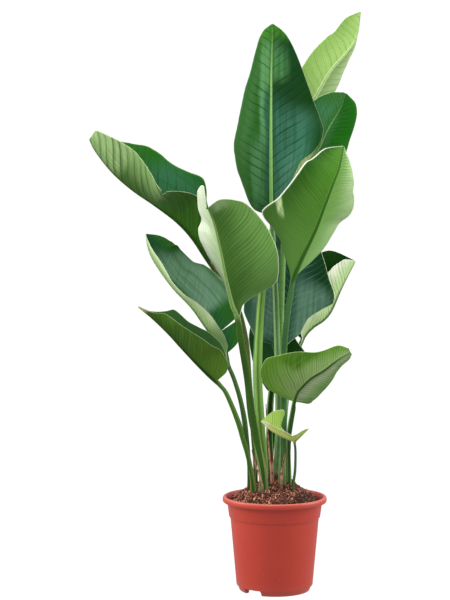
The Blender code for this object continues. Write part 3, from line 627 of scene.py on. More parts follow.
def leaf_skin(name, length, lane_step, upper=tint(60, 110, 40), under=tint(90, 130, 70),
              blooms=(), back_blooms=(), foot=None, rib_top=RIB_GREEN, rib_back=None,
              rib_shade=0.45, rib_spread=1, margin=MARGIN_CREAM, margin_width=0.12,
              margin_from=-100, stem_top=tint(52, 88, 34), stem_back=tint(62, 102, 44),
              edging=0.75, dried=0.4, dry_tip=0, line=0.5, line_tone=(0.008, 0.05, 0.014),
              back_line=0.4, back_line_tone=(0.03, 0.11, 0.01), streaks=1.0, bands=0.12):
    """A leaf's skin. Each side has one tone, or one for either half, and a half may have a pair,
    next to the rib and at the margin; these tones are partly painted light and shade, a half
    turned to the light getting a paler tone. Light zones are painted highlights and reflections
    of the lamps, and a few painted shade: from and to across, in centimetres, start and end
    along, in percent of the blade, a tone, and for a slanting one its slant. The foot is a tone
    for the underside near the stalk, partly painted shade and partly painted light, and where it
    starts to fade and ends."""
    skin = Finish(name + " skin", Specular_IOR_Level=0.09)
    here = skin.node("TexCoord", out="Object")
    height = skin.node("SeparateXYZ", {0: here}, out="Z")
    along, across, edge, vein, below = (
        skin.attribute(mark) for mark in ("along", "across", "margin", "vein", "under"))
    reach = abs(across)
    way_out = reach / (reach + edge + 0.01)
    place = along / length
    wander = (skin.grain(here, 22) - 0.5) * 0.7
    lane = vein + wander
    strand = skin.grain(skin.vector(lane * 3.4, across * 0.1), 1, 3)
    patch = skin.grain(here, 14)
    off_lane = lane.math("PINGPONG", lane_step / 2)
    groove = (skin.fall(off_lane, 0.02, 0.05 + lane_step * 0.11)
              * (1 - skin.rise(way_out, 0.3, 0.9) * (0.7 - below * 0.5))
              * skin.rise(skin.grain(here, 30, 1) + patch * 0.5 + below * 0.3, 0.35, 0.9))
    uneven = skin.rise(skin.grain(skin.vector(vein * 0.5, across * 0.06, 4), 1, 2), 0.36, 0.62)
    groove = groove * (0.5 + uneven * 0.5)
    # Painted shade: on the underside one side of each raised fold is darkened.
    pleat_shadow_side = skin.fall(off_lane, 0, lane_step * 0.4) * uneven
    thin = skin.fall(lane.math("PINGPONG", lane_step / 8), 0.01, lane_step / 12)
    other_half = skin.rise(across, -0.02, 0.02)
    # Breaks up the painted reflections and highlights.
    sheen = skin.grain(skin.vector(across * 1.3, along * 0.07), 1, 3)

    # Partly painted light and shade: each half gets its own tone, paler where it faces the light, and a
    # rib-to-margin pair.
    def half_tones(tones):
        if not isinstance(tones[0], tuple):
            return tones
        outward = skin.rise(way_out + (patch - 0.5) * 0.4, 0.1, 0.95)
        return skin.mix(other_half, *(skin.mix(outward, *tone) if isinstance(tone[0], tuple)
                                      else tone for tone in tones))

    # Zones of painted highlight and reflection, and a few of painted shade, laid over the tones.
    def with_blooms(colour, painted_zones):
        for low, high, start, end, tone, *slant in painted_zones:
            start, end = start / 100, end / 100
            soft = 0.3 + (high - low) * 0.14
            ragged = across + (strand - 0.5) * 0.8 + (patch - 0.5) * 1.5
            if slant:
                soft = 0.3
                ragged = across - along * slant[0]
            lit = (skin.rise(ragged, low - soft, low + soft)
                   - skin.rise(ragged, high - 2 * soft, high + soft))
            lit = lit * (skin.rise(place, start - 0.04, start + 0.04)
                         - skin.rise(place + way_out * 0.12 + patch * 0.1, end, end + 0.2))
            lit = lit * (0.6 + skin.rise(sheen, 0.35, 0.6) * 0.4)
            colour = skin.mix(lit * skin.rise(strand, 0.1, 0.5), colour, tone)
        return colour

    top = skin.paint(
        with_blooms(half_tones(upper), blooms),
        ((strand - 0.56) * (1.6 * streaks), (0.01, 0.05, 0.008)),
        (groove * line, line_tone))
    bottom = skin.paint(
        with_blooms(half_tones(under), back_blooms),
        ((strand - 0.54) * (1.5 * streaks), (0.02, 0.09, 0.008)),
        ((0.46 - strand) * (0.7 * streaks), (0.5, 0.65, 0.25)),
        (thin * 0.16, (0.02, 0.08, 0.01)),
        # painted shade on one side of each fold
        (pleat_shadow_side * bands, back_line_tone),
        (groove * back_line, back_line_tone))
    blade = skin.mix(below, top, bottom)
    # Painted shade, and on some leaves painted light: the underside near the stalk gets its own tone.
    if foot:
        shade, start, end = foot
        lowest = skin.fall(place + (patch - 0.5) * 0.06, start / 100, end / 100)
        blade = skin.mix(lowest * below * 0.85, blade, shade)
    rib_reach = reach / ((1 - skin.rise(along, 0, length) * 0.6) * rib_spread)
    rib_tone = skin.mix(skin.fall(rib_reach, 0, 0.1) * 0.35,
                        skin.mix(below, rib_top, rib_back or rib_top), (0.03, 0.12, 0.02))
    # The pale margin is the leaf's own colour, on some leaves widened into a painted highlight.
    rim = skin.fall(edge + (patch - 0.5) * 0.06, margin_width * 0.4, margin_width) * 0.85
    rim = rim * skin.rise(place, margin_from / 100, margin_from / 100 + 0.12)
    # Painted shadow: a dark halo beside the midrib's ridge, then the rib's tone and the pale margin.
    blade = skin.paint(
        blade,
        (skin.fall(rib_reach, 0.22, 0.5) * rib_shade, (0.01, 0.05, 0.008)),
        (skin.fall(rib_reach, 0.16, 0.28) * (1 - skin.rise(place, 0.68, 1) * 0.8), rib_tone),
        (rim, margin))
    streak = skin.grain(skin.vector(across * 7, along * 0.1), 1, 3)
    # On the stalk the darker channel on the upper side is painted shade, the light edges are partly its
    # pale margins and partly painted highlights, and the darkening near the mix is painted shade.
    stem = skin.paint(
        skin.mix(below, stem_top, stem_back),
        ((streak - 0.5) * 1.3, tuple(1.9 * c for c in stem_back)),
        ((0.5 - streak) * 1.3, tuple(0.45 * c for c in stem_top)),
        ((1 - below) * skin.fall(reach, 0.1, 0.45) * 0.7, tuple(0.35 * c for c in stem_top)),
        (skin.fall(edge, 0.09, 0.26) * edging, RIB_GREEN),
        (skin.fall(height, 0.21, 0.36) * 0.4, (0.01, 0.035, 0.006)))
    if dried:
        browned = (skin.fall(edge + streak * 0.25, 0.06, 0.2)
                   * skin.fall(height + patch * 0.14, dried - 0.08, dried + 0.04)
                   * skin.rise(skin.grain(here, 16, 1), 0.4, 0.6) * 0.85)
        stem = skin.mix(browned, stem, skin.mix(skin.rise(streak, 0.4, 0.7), SALMON, STRAW))
    colour = skin.mix(skin.rise(along, -1.5, 0.4), stem, blade)
    if dry_tip:
        withered = skin.rise(along + patch * 1.2, length - dry_tip, length - dry_tip * 0.35)
        colour = skin.mix(withered, colour, STRAW)
    skin.feed("Base Color", colour)
    skin.feed("Roughness", below * 0.14 + patch * 0.16 + 0.34)
    skin.bump(strand * 0.5 - groove * 0.9 - thin * 0.15, 0.0011, 0.8)
    return skin.material


# Crown leaf: the tallest in front, upright, its dark glossy upper side towards the viewer.
grow_leaf(
    "crown_leaf", "leaf_crown",
    upper=(tint(25, 85, 6), tint(3, 57, 10)), under=(tint(90, 140, 60), tint(84, 130, 60)),
    # Its light zones are painted reflections beside the midrib, with a painted shadow at the base.
    blooms=[(-2.7, -0.7, 35, 78, tint(84, 136, 88)), (-5, -1, 2, 36, tint(72, 122, 74)),
        (-1.5, 0.2, 10, 60, tint(34, 86, 62)), (0, 4, 70, 86, tint(66, 122, 66)),
        (-2.6, 0.1, 66, 90, tint(80, 134, 76)), (0, 10.5, -10, 55, tint(52, 106, 82)),
        (-6, 7, 92, 130, tint(50, 112, 12)), (-7, -0.6, -10, 3, tint(4, 34, 6))],
    rib_top=tint(140, 188, 104), stem_top=tint(136, 180, 118), margin_width=0.06,
    margin=tint(150, 176, 116), line=0.85, line_tone=(0.003, 0.035, 0.02), rib_shade=0.5, rib_spread=1.9,
    stalk=[(0.5, -0.5, 26), (0.9, 0, 38), (0.8, 1.1, 49), (0.2, 4, 69), (-0.3, 5.8, 79.4)],
    rib=[(-0.6, 7, 86.6), (-0.7, 8, 97), (-0.7, 9, 108.6), (-0.6, 10, 120.3), (-0.4, 11, 127.8),
        (-0.4, 11.8, 131.2)],
    stalk_half=(1.1, 0.7, 0.55), face=[(0, -1, 0.1)], pleats=(2.1, 0.014),
    edge_a={0: 0.7, 5: 5.2, 12: 7.6, 20: 9.4, 28: 11, 38: 11.9, 50: 10.9, 67: 9.2, 81: 7.2, 93: 5.8,
        98: 3.9, 100: 0.3},
    fold_a={0: 5, 50: -2, 100: -10}, curl_a={0: -75, 60: -78, 100: -90},
    edge_b={0: 0.7, 4: 4.2, 12: 6.6, 20: 7.7, 26: 8.6, 31: 11.5, 37: 12.8, 42: 12.7, 50: 11.5, 59: 10,
        72: 7.9, 86: 5.4, 93: 3.6, 97: 2, 100: 0.3},
    fold_b=15, curl_b={0: 100, 33: 30, 60: -20, 100: -20})


# Top leaf: behind the crown and higher, its bright underside towards the viewer.
grow_leaf(
    "top_leaf", "leaf_top_back",
    under=((tint(126, 158, 92), tint(156, 180, 128)), (tint(146, 180, 98), tint(124, 160, 78))),
    rib_top=tint(170, 200, 130), rib_back=tint(178, 202, 140), stem_back=tint(110, 156, 84),
    back_line=0.6, back_line_tone=(0.16, 0.3, 0.06), streaks=0.5, rib_shade=0.15,
    stalk=[(1.5, 2, 27), (1.7, 3.6, 43.5), (1.5, 4.8, 54.5), (1.8, 6.5, 67.7), (2.1, 8, 74.5),
        (2.4, 10.5, 81.7), (3.3, 13.5, 90), (4.5, 16, 98.3)],
    rib=[(6.5, 17.5, 106.5), (8.7, 18, 111.8), (11.2, 18.9, 116.5), (14.1, 19.8, 121.3),
        (18, 21.2, 125.8), (20.3, 22.6, 129.5), (21.4, 24, 135.6)],
    stalk_half=(1, 0.6, 0.5), face=[(0, 1, -0.2)], pleats=(1.9, 0.01),
    edge_a={0: 0.4, 4: 2.6, 12: 4.4, 25: 5.7, 40: 6.1, 60: 6.3, 75: 5.9, 85: 5, 95: 3.3, 100: 0.3},
    fold_a={0: 40, 35: 58, 50: 63, 65: 78, 83: 87, 100: 87},
    edge_b={0: 0.4, 4: 2.7, 12: 4.7, 25: 6.3, 40: 6.9, 60: 7.1, 75: 6.6, 85: 5.6, 95: 3.6, 100: 0.3},
    fold_b=20)


# Dark right leaf: behind the crown, its dark upper side towards the viewer.
grow_leaf(
    "dark_right_leaf", "leaf_right_back",
    upper=(tint(40, 104, 34), tint(22, 94, 8)), under=tint(110, 150, 80),
    blooms=[(-7, -0.4, 30, 85, tint(60, 118, 74)), (-4.5, 1.5, -10, 36, tint(220, 236, 160)),
        (0, 1.5, 30, 75, tint(60, 116, 60))],
    rib_top=tint(126, 170, 98), stem_top=tint(140, 186, 88), line=0.3, margin_width=0.1,
    stalk=[(-2.3, -1.6, 27.9), (-3.4, -1.5, 38.7), (-4, -0.5, 50), (-3.6, 1.8, 60.8), (-3, 4, 68.3),
        (-2.1, 6, 75.5), (-0.2, 8, 83)],
    rib=[(2.8, 9, 92), (6.5, 10.3, 96.8), (10.5, 11.8, 101.6), (13, 13.1, 106.8), (15.9, 14, 111.7),
        (17.2, 14.5, 115.2)],
    stalk_half=(1, 0.95, 0.6), face=[(0.3, -1, 0.1)],
    edge_a={0: 0.5, 4: 3.2, 12: 5.4, 25: 7, 40: 7.5, 55: 7.5, 70: 7.1, 85: 6, 95: 4.1, 100: 0.7},
    fold_a={0: -15, 40: 0, 100: 10},
    edge_b={0: 0.5, 4: 3, 12: 5.1, 25: 6.4, 40: 6.6, 55: 6.3, 70: 5.8, 85: 4.7, 95: 3, 100: 0.4},
    fold_b=20, curl_b=-30)


# Front right leaf: the nearest of the tall ones, its mid-green underside towards the viewer.
grow_leaf(
    "front_right_leaf", "leaf_front_right",
    upper=tint(70, 120, 50), under=((tint(106, 156, 66), tint(170, 200, 142)),
        (tint(74, 130, 34), tint(34, 84, 8))),
    # Its slanting light zone is a painted highlight on a folded margin.
    back_blooms=[(1.6, 3.3, 37, 60, tint(236, 255, 190), 0.49)],
    foot=(tint(112, 160, 76), -10, 75), rib_top=tint(90, 134, 56), rib_back=tint(56, 98, 28),
    # Its broad white margin is partly a painted highlight.
    margin=tint(244, 246, 232), margin_width=0.42, margin_from=20, stem_top=tint(67, 107, 78),
    stem_back=tint(70, 114, 64), back_line=0.25, streaks=0.7, bands=0.05,
    stalk=[(1.6, -2.6, 28), (2, -2.3, 37.3), (2, -2.3, 45), (2, -3, 55.3), (2.7, -4.2, 63.7),
        (3.6, -5.2, 69.6)],
    rib=[(3.9, -5.6, 71.9), (5.5, -6.6, 75.9), (8.7, -8.4, 82.8), (10.8, -9.5, 88.5), (12.6, -9.7, 93.3),
        (14, -8.8, 96.8), (14.9, -6.6, 100.6), (15.2, -5.8, 101.7)],
    stalk_half=(1.1, 0.66, 0.55), face=[(0, 1, 0)], pleats=(0.8, 0.006),
    edge_a={0: 0.6, 4: 4, 12: 8.9, 25: 11.5, 40: 12.4, 50: 12.8, 60: 12, 70: 10.7, 85: 7.7, 95: 4.3,
        100: 0.3},
    fold_a={0: 80, 6: 75, 12: 71, 25: 68, 40: 66, 50: 58, 60: 55, 100: 54},
    edge_b={0: 0.5, 4: 1.2, 12: 3.5, 20: 6.2, 25: 9, 29: 11.8, 33: 12.8, 38: 12.4, 50: 10.3, 60: 9.1,
        70: 8.2, 80: 7.3, 90: 5.6, 95: 4.3, 100: 0.3},
    fold_b=8)


# Front left leaf: bent over at its tip, its underside towards the viewer, one half painted pale where it
# faces the light.
grow_leaf(
    "front_left_leaf", "leaf_front_left",
    under=((tint(78, 122, 48), tint(124, 174, 88)), (tint(182, 206, 156), tint(222, 232, 206))),
    back_blooms=[(-4.5, -0.3, 80, 110, tint(150, 178, 126))],
    foot=(tint(40, 74, 24), -30, 70), rib_top=tint(160, 186, 128), rib_back=tint(136, 168, 98),
    margin=tint(222, 232, 190), margin_width=0.16, stem_top=tint(60, 92, 34), stem_back=tint(56, 92, 30),
    back_line=0.45,
    stalk=[(-2.7, -3.8, 26), (-3.2, -3.9, 30), (-5.3, -4.4, 40.3), (-6.3, -5, 49), (-7.8, -6.4, 58)],
    rib=[(-8.7, -7, 63.7), (-9.7, -7.6, 66.2), (-11, -9, 71.5), (-12.3, -10.6, 78), (-13.7, -12.6, 84),
        (-14.6, -15, 86.5), (-15.1, -18, 87.6), (-15.4, -21, 87.6)],
    stalk_half=(1.3, 0.85, 0.6), face=[(0, 1, 0), (0, 1, 0), (0, 1, 0.1), (0, 0.3, 1)],
    pleats=(0.95, 0.01),
    edge_a={0: 0.6, 4: 1.6, 10: 4, 16: 10.2, 20: 11.3, 27: 12, 40: 12.4, 53: 11.7, 65: 10.2, 78: 7.1,
        86: 4.8, 92: 3.3, 97: 2.2, 100: 0.4},
    fold_a={0: 10, 33: 5, 67: 15, 100: 40},
    edge_b={0: 0.6, 4: 3, 15: 8.4, 27: 11, 40: 12, 53: 11.7, 65: 10.7, 74: 9, 80: 7.6, 88: 5.5, 94: 4.2,
        100: 0.4},
    fold_b={0: 86, 15: 85, 27: 80, 40: 73, 53: 67, 58: 66, 63.5: 70.5, 70: 66.5, 78: 69.5, 88: 80,
        100: 86})


# Upper left leaf: reaches far out to the left, its near half seen from below.
grow_leaf(
    "upper_left_leaf", "leaf_upper_left",
    upper=(tint(40, 92, 50), (tint(36, 100, 50), tint(34, 104, 18))),
    under=((tint(56, 90, 34), tint(116, 150, 86)), tint(90, 130, 70)),
    back_blooms=[(-13, 0.5, 72, 140, tint(142, 172, 112))],
    blooms=[(1.5, 11, -10, 62, tint(56, 118, 78))],
    # Its dark foot, below the tear, is painted shade.
    foot=(tint(48, 98, 14), 41, 47), rib_top=tint(140, 172, 110), rib_back=tint(44, 70, 26),
    stem_top=tint(96, 92, 36), stem_back=tint(70, 80, 26), edging=0.15, dried=0.62, back_line=0.6,
    back_line_tone=(0.025, 0.075, 0.012), line=0.8, bands=0.6,
    stalk=[(-3.9, 1.6, 27.4), (-4.7, 2.6, 36.6), (-5.6, 4.4, 48.5), (-6.1, 6, 55.4), (-7, 7.4, 60.7),
        (-8.4, 8.2, 65.1), (-11.7, 8.9, 70.5)],
    rib=[(-15.2, 9.3, 75.5), (-18.9, 9, 81), (-22.8, 8.6, 85.1), (-28.1, 8.1, 89), (-33.1, 8, 92.4),
        (-37.8, 8.2, 96.5), (-41.7, 9.5, 101.3), (-43.3, 11, 104.1)],
    stalk_half=(1.1, 0.7, 0.5), face=[(1, 0, 0.3), (0.7, 0, 0.7), (0.6, 0, 0.8)], pleats=(2.5, 0.045),
    edge_a={0: 0.6, 4: 5, 12: 8.9, 25: 11.5, 40: 12.4, 55: 12, 65: 11.2, 74: 10.3, 83: 8.8, 90.5: 6.8,
        97.5: 4.5, 100: 0.5},
    fold_a={0: 45, 30: 39, 39: 29, 47: 18, 55: 27, 65: 37, 74: 44, 83: 46, 90.5: 46, 100: 46},
    edge_b={0: 0.6, 4: 3, 12: 5, 22: 6.6, 29: 10.4, 33: 11.8, 40: 11, 50: 10.4, 60: 10.8, 70: 10.4,
        76: 9.6, 81: 8.4, 87: 6.6, 93: 4, 100: 0.4},
    fold_b={0: 75, 33: 80, 67: 78, 100: 70}, tears=[("a", 45.5, 30, 1.2)])


# Middle left leaf: a round blade with one pale half towards the viewer.
grow_leaf(
    "middle_left_leaf", "leaf_mid_left",
    upper=(tint(60, 110, 80), (tint(24, 88, 46), tint(44, 108, 26))),
    under=((tint(140, 174, 108), tint(206, 226, 172)), tint(110, 149, 96)),
    blooms=[(1, 10, 30, 80, tint(122, 162, 132))],
    foot=(tint(66, 104, 38), 8, 28), rib_top=tint(140, 172, 110), rib_back=tint(100, 132, 76),
    stem_back=tint(48, 84, 32), edging=0.3, line_tone=(0.1, 0.24, 0.12),
    stalk=[(-5.5, -0.6, 26.4), (-6.5, 0, 36.5), (-7.6, 0.8, 43.1), (-9.1, 1.6, 48.3), (-10.4, 2, 51.5)],
    rib=[(-11.3, 2.6, 54.5), (-13.1, 3, 57.3), (-15.5, 3.4, 60.2), (-19, 3.8, 65), (-23.5, 4, 69.7),
        (-27.7, 4, 75.5), (-29.2, 4.6, 78.8), (-29.8, 5.5, 82)],
    stalk_half=(1.1, 0.65, 0.5), face=[(0.6, 0.8, 0), (0.8, 0, 0.6)], pleats=(1.1, 0.015),
    edge_a={0: 0.6, 4: 4, 12: 6.9, 25: 8.9, 40: 9.6, 55: 9.3, 70: 8.3, 85: 6, 95: 3.2, 100: 0.2},
    fold_a={0: 18, 20: 19, 38: 12, 50: 7, 60: 7, 70: 10, 80: 13, 100: 13},
    edge_b={0: 0.6, 4: 4, 12: 6.9, 25: 8.9, 40: 9.6, 55: 9.3, 70: 8.3, 80: 7.3, 88: 6.2, 95: 4.7, 98: 3,
        100: 0.2},
    fold_b={0: 75, 45: 75, 55: 70, 64: 54, 76: 57, 85: 68, 100: 72}, tears=[("b", 14, 80, 0.8)])


# Lowest left leaf: narrow, with a long dried tip.
grow_leaf(
    "lowest_left_leaf", "leaf_low_left",
    upper=(tint(40, 78, 30), tint(52, 96, 42)), under=((tint(50, 84, 14), tint(66, 104, 20)),
        tint(60, 90, 26)),
    foot=(tint(90, 130, 38), -10, 55), rib_top=tint(140, 168, 110), rib_back=tint(34, 58, 14),
    margin=tint(160, 182, 128), stem_back=tint(66, 106, 28), dry_tip=2.2, edging=0.3,
    stalk=[(-4.8, -3, 25), (-6, -3.3, 31.4), (-7, -3.7, 34.9), (-8.5, -4.2, 39.8), (-11, -5.2, 46),
        (-12.6, -5.7, 48.1)],
    rib=[(-13.5, -6, 48.9), (-17, -7, 52.3), (-20.7, -8, 56.2), (-24.2, -8.7, 60), (-27.8, -9, 63.4),
        (-30.9, -9, 65.8)],
    stalk_half=(1.15, 0.7, 0.5), face=[(0.5, 0.85, 0), (0.7, 0, 0.7)], pleats=(0.9, 0.012),
    edge_a={0: 0.6, 4: 4.2, 12: 6.5, 25: 7.5, 37: 7.3, 51: 6.6, 65: 5.4, 79: 3.6, 85: 1.8, 92: 0.7,
        100: 0.2},
    fold_a={0: 55, 20: 55, 35: 46, 65: 40, 80: 48, 100: 50},
    edge_b={0: 0.6, 4: 4.2, 12: 6.3, 22: 7.3, 35: 7, 48: 6, 60: 5.1, 70: 5, 74: 4.8, 78: 3.4, 84: 1.8,
        90: 0.8, 100: 0.2},
    fold_b=72)


# Inner right leaf: dark and glossy, behind the stalks.
grow_leaf(
    "inner_right_leaf", "leaf_inner_right",
    upper=((tint(32, 72, 52), tint(50, 100, 76)), (tint(42, 90, 74), tint(16, 66, 28))),
    blooms=[(-9, -2, 5, 70, tint(104, 146, 122)), (1.5, 10, -10, 50, tint(110, 152, 128))],
    rib_top=tint(110, 152, 110), line_tone=(0.25, 0.42, 0.32),
    stalk=[(-0.9, 3.2, 27.2), (-1.1, 4.6, 35.1), (-0.7, 6, 43.9), (0.5, 7.4, 50.1)],
    rib=[(2.2, 8.8, 55.6), (3.2, 9.8, 61.7), (3.9, 11, 68.7), (4.9, 12.4, 76.5), (5.7, 14, 81.7),
        (6.2, 15.6, 85.7)],
    stalk_half=(1, 0.8, 0.55), face=[(0, -1, 0.2)], pleats=(1.5, 0.02),
    edge_a={0: 0.6, 4: 6.4, 12: 8.5, 25: 10.6, 40: 10.6, 55: 9.5, 70: 8, 85: 5.8, 95: 3.2, 100: 0.2},
    fold_a=15, curl_a=-20,
    edge_b={0: 0.6, 4: 1.3, 12: 3.5, 22: 4.8, 30: 8, 36: 10.6, 40: 10.7, 55: 8.9, 70: 7, 85: 4.5, 95: 2.1,
        100: 0.2},
    fold_b=15, curl_b=-15)


# Outer right leaf: folded like a dome, with a torn lower lobe.
grow_leaf(
    "outer_right_leaf", "leaf_right_low",
    upper=(tint(12, 62, 1), tint(25, 77, 8)), under=(tint(97, 125, 74),
        (tint(196, 228, 158), tint(240, 248, 218))),
    foot=(tint(128, 156, 92), -20, 35), rib_top=tint(120, 150, 90), rib_back=tint(90, 120, 64),
    margin=tint(236, 240, 220), margin_width=0.3, stem_back=tint(70, 96, 50),
    stalk=[(2.1, 4.4, 27.4), (2.4, 7.4, 36), (3.2, 11.2, 43.4), (4.4, 14, 50)],
    rib=[(7.2, 16.5, 56.8), (9.5, 17.5, 59.5), (12.2, 18, 61.3), (14.1, 18, 63.6), (16.3, 17.6, 68.6),
        (18.2, 17.2, 72.4), (19.8, 16.8, 75.4)],
    stalk_half=(0.9, 0.55, 0.45), face=[(-1, -0.2, 0.3), (-0.6, -0.2, 0.8), (-0.8, -0.1, 0.6),
        (-0.6, 0, 0.8)], pleats=(1.1, 0.02),
    edge_a={0: 0.6, 4: 3.8, 12: 6.5, 25: 8.6, 50: 9.8, 75: 9.8, 88: 8.8, 95: 7.4, 98.5: 5.2, 100: 1},
    fold_a={0: 75, 50: 78, 100: 72},
    edge_b={0: 0.6, 4: 3, 12: 5, 25: 7, 40: 8, 55: 8.4, 70: 8.4, 85: 7, 93: 5.2, 98: 3.8, 100: 1},
    fold_b={0: 45, 60: 50, 80: 40, 100: 40}, tears=[("b", 50, 50, 1.2)])


# Low front leaf: bright, comes towards the viewer over the pot, seen from below.
grow_leaf(
    "low_front_leaf", "leaf_front_low",
    upper=(tint(85, 118, 57), tint(86, 123, 59)), under=((tint(172, 190, 148), tint(110, 148, 84)),
        (tint(136, 168, 98), tint(98, 146, 42))),
    back_blooms=[(3.6, 9, 30, 110, tint(70, 118, 26)), (4, 12, -10, 12, tint(136, 172, 80)),
        (0.3, 3, 10, 60, tint(140, 166, 104))],
    rib_top=tint(56, 92, 30), rib_back=tint(50, 84, 28), stem_back=tint(46, 82, 32),
    margin=tint(190, 206, 150), back_line=0.45, bands=0.2,
    stalk=[(3, -1.5, 26.5), (3.05, -2.8, 34.9), (3.35, -3.3, 38), (4, -4.2, 42.1)],
    rib=[(4.3, -5.4, 44.2), (5, -6.8, 46.4), (6.1, -8.4, 48), (7.9, -10.6, 50), (10.6, -14, 52.1),
        (13.3, -17.6, 54.7), (15.8, -20, 56.5)],
    stalk_half=(1, 0.68, 0.45), face=[(-0.5, 0.9, 0.2), (-0.4, 0.86, 0.35), (-0.35, 0.75, 0.55),
        (-0.3, 0.7, 0.6)], pleats=(0.8, 0.02),
    edge_a={0: 0.5, 3: 3, 10: 3.8, 25: 4.1, 40: 3.9, 55: 3.1, 70: 2, 82: 1.6, 93: 1.3, 100: 0.5},
    fold_a={0: -20, 10: -40, 100: -45},
    edge_b={0: 0.5, 3: 2.8, 8: 6.8, 16: 10, 22: 10.4, 31: 8.7, 46: 6.1, 60: 4.6, 75: 3.5, 90: 2.7,
        100: 1},
    fold_b={0: 30, 10: 30, 31: 42, 50: 58, 100: 65})


# Young leaf: small and light green, on a thin stalk in front.
grow_leaf(
    "young_leaf", "leaf_small_front",
    upper=(tint(170, 206, 96), (tint(196, 224, 116), tint(170, 206, 96))),
    under=((tint(250, 255, 160), tint(214, 244, 128)), tint(190, 220, 112)),
    back_blooms=[(-5, 3, 78, 140, tint(250, 250, 224))],
    foot=(tint(164, 204, 90), -20, 30), rib_top=tint(216, 228, 166), rib_back=tint(186, 212, 120),
    margin=tint(236, 240, 206), stem_top=tint(50, 90, 24), stem_back=tint(46, 84, 22), dried=0,
    edging=0.2,
    stalk=[(4.4, -4, 24.4), (4.8, -4.3, 28), (4.8, -5, 32.1), (4.6, -5.4, 34.2)],
    rib=[(4.2, -5.8, 35.3), (3.5, -6.2, 35.7), (1.9, -6.7, 36.4), (-0.2, -7.1, 37.5), (-1.7, -7.2, 38.5),
        (-3.3, -6.8, 39.8)],
    stalk_half=(0.56, 0.54, 0.34), face=[(1, 0, 0.2), (0.6, -0.1, 0.8), (0.5, -0.1, 0.85)], lobe=-1.6,
    pleats=(0.6, 0.008),
    edge_a={0: 4.9, 4: 4.2, 10: 2.3, 20: 2.7, 30: 3.6, 50: 3.8, 80: 3, 95: 1.3, 100: 0.2},
    fold_a={0: 65, 10: 50, 25: 28, 100: 28},
    edge_b={0: 0.3, 30: 1, 50: 1.8, 60: 4.8, 70: 5.2, 85: 4.4, 95: 3, 100: 0.2},
    fold_b=85)


# Low back leaf: small, dark, behind the stalks.
grow_leaf(
    "low_back_leaf", "leaf_low_back",
    upper=(tint(36, 80, 40), tint(18, 60, 14)),
    rib_top=tint(90, 130, 80),
    stalk=[(-0.9, 6, 26.7), (0.1, 7.4, 35.9), (1.3, 8.4, 41.7)],
    rib=[(2, 9.2, 44.2), (1.4, 11, 48.5), (0.4, 12.8, 53.2), (-0.7, 14, 57.9), (-1.7, 15, 62.3),
        (-2.4, 16, 66.1)],
    stalk_half=(0.9, 0.6, 0.45), face=[(0, -1, 0.2)],
    edge_a={0: 0.5, 5: 3, 12: 4, 25: 5, 40: 5.6, 60: 5.4, 80: 3.8, 93: 1.9, 100: 0.2},
    fold_a=15, curl_a=-20,
    edge_b={0: 0.5, 5: 3.4, 12: 5, 25: 6.8, 36: 7.2, 50: 6, 70: 4.6, 85: 2.8, 100: 0.2},
    fold_b=15, curl_b=-20)


# Dried sheaths: the papery remains of old leaf bases round the stalks. Each is a thin torn
# strip, slightly hollow, straw to dark red-brown, with a frayed brown tip.
SHEATH_STEP = 0.14
SHEATH_COLUMNS = 15
SHEATH_THICKNESS = 0.05

papery = Finish("dried sheath")
spot = papery.node("TexCoord", out="Object")
height = papery.node("SeparateXYZ", {0: spot}, out="Z")
along, across, dry = (papery.attribute(mark) for mark in ("along", "across", "dry"))
fibre_lines = papery.grain(papery.vector(across * 14, along * 0.35), 1, 3)
blot = papery.grain(spot, 90, 3)
colour = papery.paint(
    papery.mix(papery.rise(fibre_lines, 0.35, 0.65), tint(138, 68, 46), tint(228, 186, 150)),
    (papery.rise(blot + dry * 0.25, 0.6, 0.85), tint(112, 46, 32)),
    (papery.rise(dry + blot * 0.3, 0.9, 1.15), tint(92, 50, 30)),
    (papery.fall(height, 0.232, 0.272) * 0.8, tint(66, 32, 22)))
papery.feed("Base Color", colour)
papery.feed("Roughness", 0.65 + blot * 0.25)
papery.bump(fibre_lines, 0.0006, 0.8)


def grow_sheath(name, node, path, half_width, face, seed):
    """A strip along a path, narrower, more hollow and more frayed towards its tip."""
    curve, far = smooth_up(path)
    rows = int(far[-1] / SHEATH_STEP)
    at = np.linspace(0, far[-1], rows)
    centre = points_at(at, far, curve)
    ahead = unit(np.gradient(centre, axis=0))
    up = squared(np.array([face], float), ahead)
    across = np.cross(ahead, up)
    share = np.linspace(-1, 1, SHEATH_COLUMNS)
    at = at[:, None]
    place = at / far[-1]
    frays = np.random.default_rng(seed).uniform(0, 1, rows // 3)
    rough = np.interp(at, np.linspace(0, far[-1], rows // 3), frays)
    half = half_width * between({0: 1, 50: 1, 100: 0.18}, place)
    half = half * (1 - 0.35 * rough * place)
    turn = 0.35 * np.sin(at * 0.9 + seed) * place
    out = share * half * np.cos(turn)
    rise = half * (0.3 + 0.5 * place) * share ** 2 + share * half * np.sin(turn)
    rise = rise + 0.03 * np.sin(share * 19 + seed) * place
    points = centre[:, None] + across[:, None] * out[..., None] + up[:, None] * rise[..., None]
    marks = dict(along=np.repeat(at, SHEATH_COLUMNS, axis=1), across=share * half,
                 dry=np.repeat(place, SHEATH_COLUMNS, axis=1))
    piece = sheet(name, points, np.full(points.shape[:2], SHEATH_THICKNESS), marks)
    piece.data.materials.append(papery.material)
    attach(piece, "root")
    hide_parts(node)


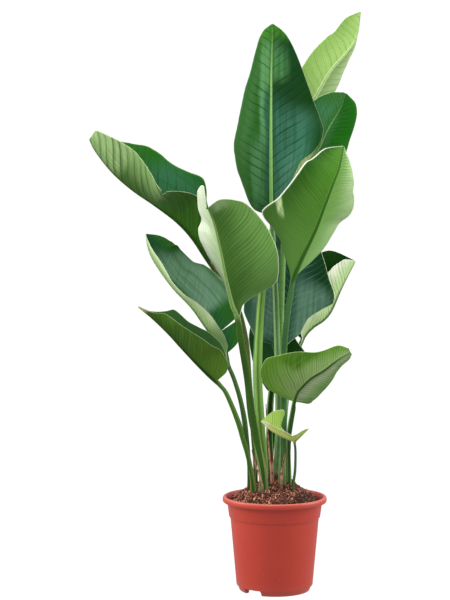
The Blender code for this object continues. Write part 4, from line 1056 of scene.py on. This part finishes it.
grow_sheath("left_sheath", "dry_sheath_left",
            [(-2.9, -5.6, 24.3), (-3.6, -5.4, 27), (-4.6, -5, 29.8), (-5.4, -4.8, 33)],
            0.22, (0.4, 1, 0), 1)
grow_sheath("inner_sheath", "dry_sheath_inner",
            [(-0.9, -3, 26), (-1.4, -2.9, 33), (-1.9, -2.7, 39), (-2.1, -2.6, 43.3)],
            0.2, (0, 1, 0), 2)
grow_sheath("middle_sheath", "dry_sheath_middle",
            [(-0.5, -1.9, 26), (-0.6, -1.8, 29.5), (-0.2, -1.8, 33.6)],
            0.26, (0, 1, 0), 3)
grow_sheath("right_sheath", "dry_sheath_right",
            [(1.4, -4.5, 26), (1.8, -4.4, 30), (2.5, -4.2, 33.2)],
            0.34, (0, 1, 0), 4)


# Studio: a plain white floor under a white sky, and large soft lights on both sides, with a
# weaker one above the viewer and one overhead. The camera stands at the photo's low angle and
# sees the sky brighter than it shines on the plant.
SKY_LIGHT = 0.6
SKY_SEEN_MORE = 0.42

bpy.ops.mesh.primitive_plane_add(size=30, location=(0, 0, 0))
floor = bpy.context.object
floor.name = "studio_floor"
white = Finish("white floor", Base_Color=(0.02, 0.02, 0.02), Roughness=0.9,
               Emission_Color=(1, 1, 1), Emission_Strength=1.0)
floor.data.materials.append(white.material)
floor.visible_diffuse = floor.visible_glossy = False

world = bpy.data.worlds.new("studio")
bpy.context.scene.world = world
world.use_nodes = True
sky = world.node_tree.nodes["Background"]
ray = world.node_tree.nodes.new("ShaderNodeLightPath")
seen = Wire(world.node_tree, ray.outputs["Is Camera Ray"])
plug(world.node_tree, sky.inputs["Color"], (1, 1, 1))
plug(world.node_tree, sky.inputs["Strength"], seen * SKY_SEEN_MORE + SKY_LIGHT)


def soft_light(name, place, aim, size, power):
    """A square softbox turned towards a point."""
    bpy.ops.object.light_add(type="AREA", location=place)
    light = bpy.context.object
    light.name = name
    light.data.size = size
    light.data.energy = power
    light.rotation_euler = (Vector(aim) - Vector(place)).to_track_quat("-Z", "Y").to_euler()


soft_light("left_softbox", (-2.4, -0.1, 1.5), (0, 0, 0.5), 1.6, 57)
soft_light("right_softbox", (2.4, 0, 1.4), (0, 0, 0.5), 1.6, 52)
soft_light("front_softbox", (-0.9, -2.6, 2.8), (0, 0, 0.7), 1.2, 34)
soft_light("top_softbox", (0.2, -0.3, 3.4), (0, 0, 0.5), 1.2, 36)

bpy.ops.object.camera_add(location=(-0.1145, -3.6, 0.845),
                          rotation=(math.radians(87.2), 0, 0))
camera = bpy.context.object
camera.data.lens = 94.32
bpy.context.scene.camera = camera
bpy.context.scene.view_settings.view_transform = "Standard"
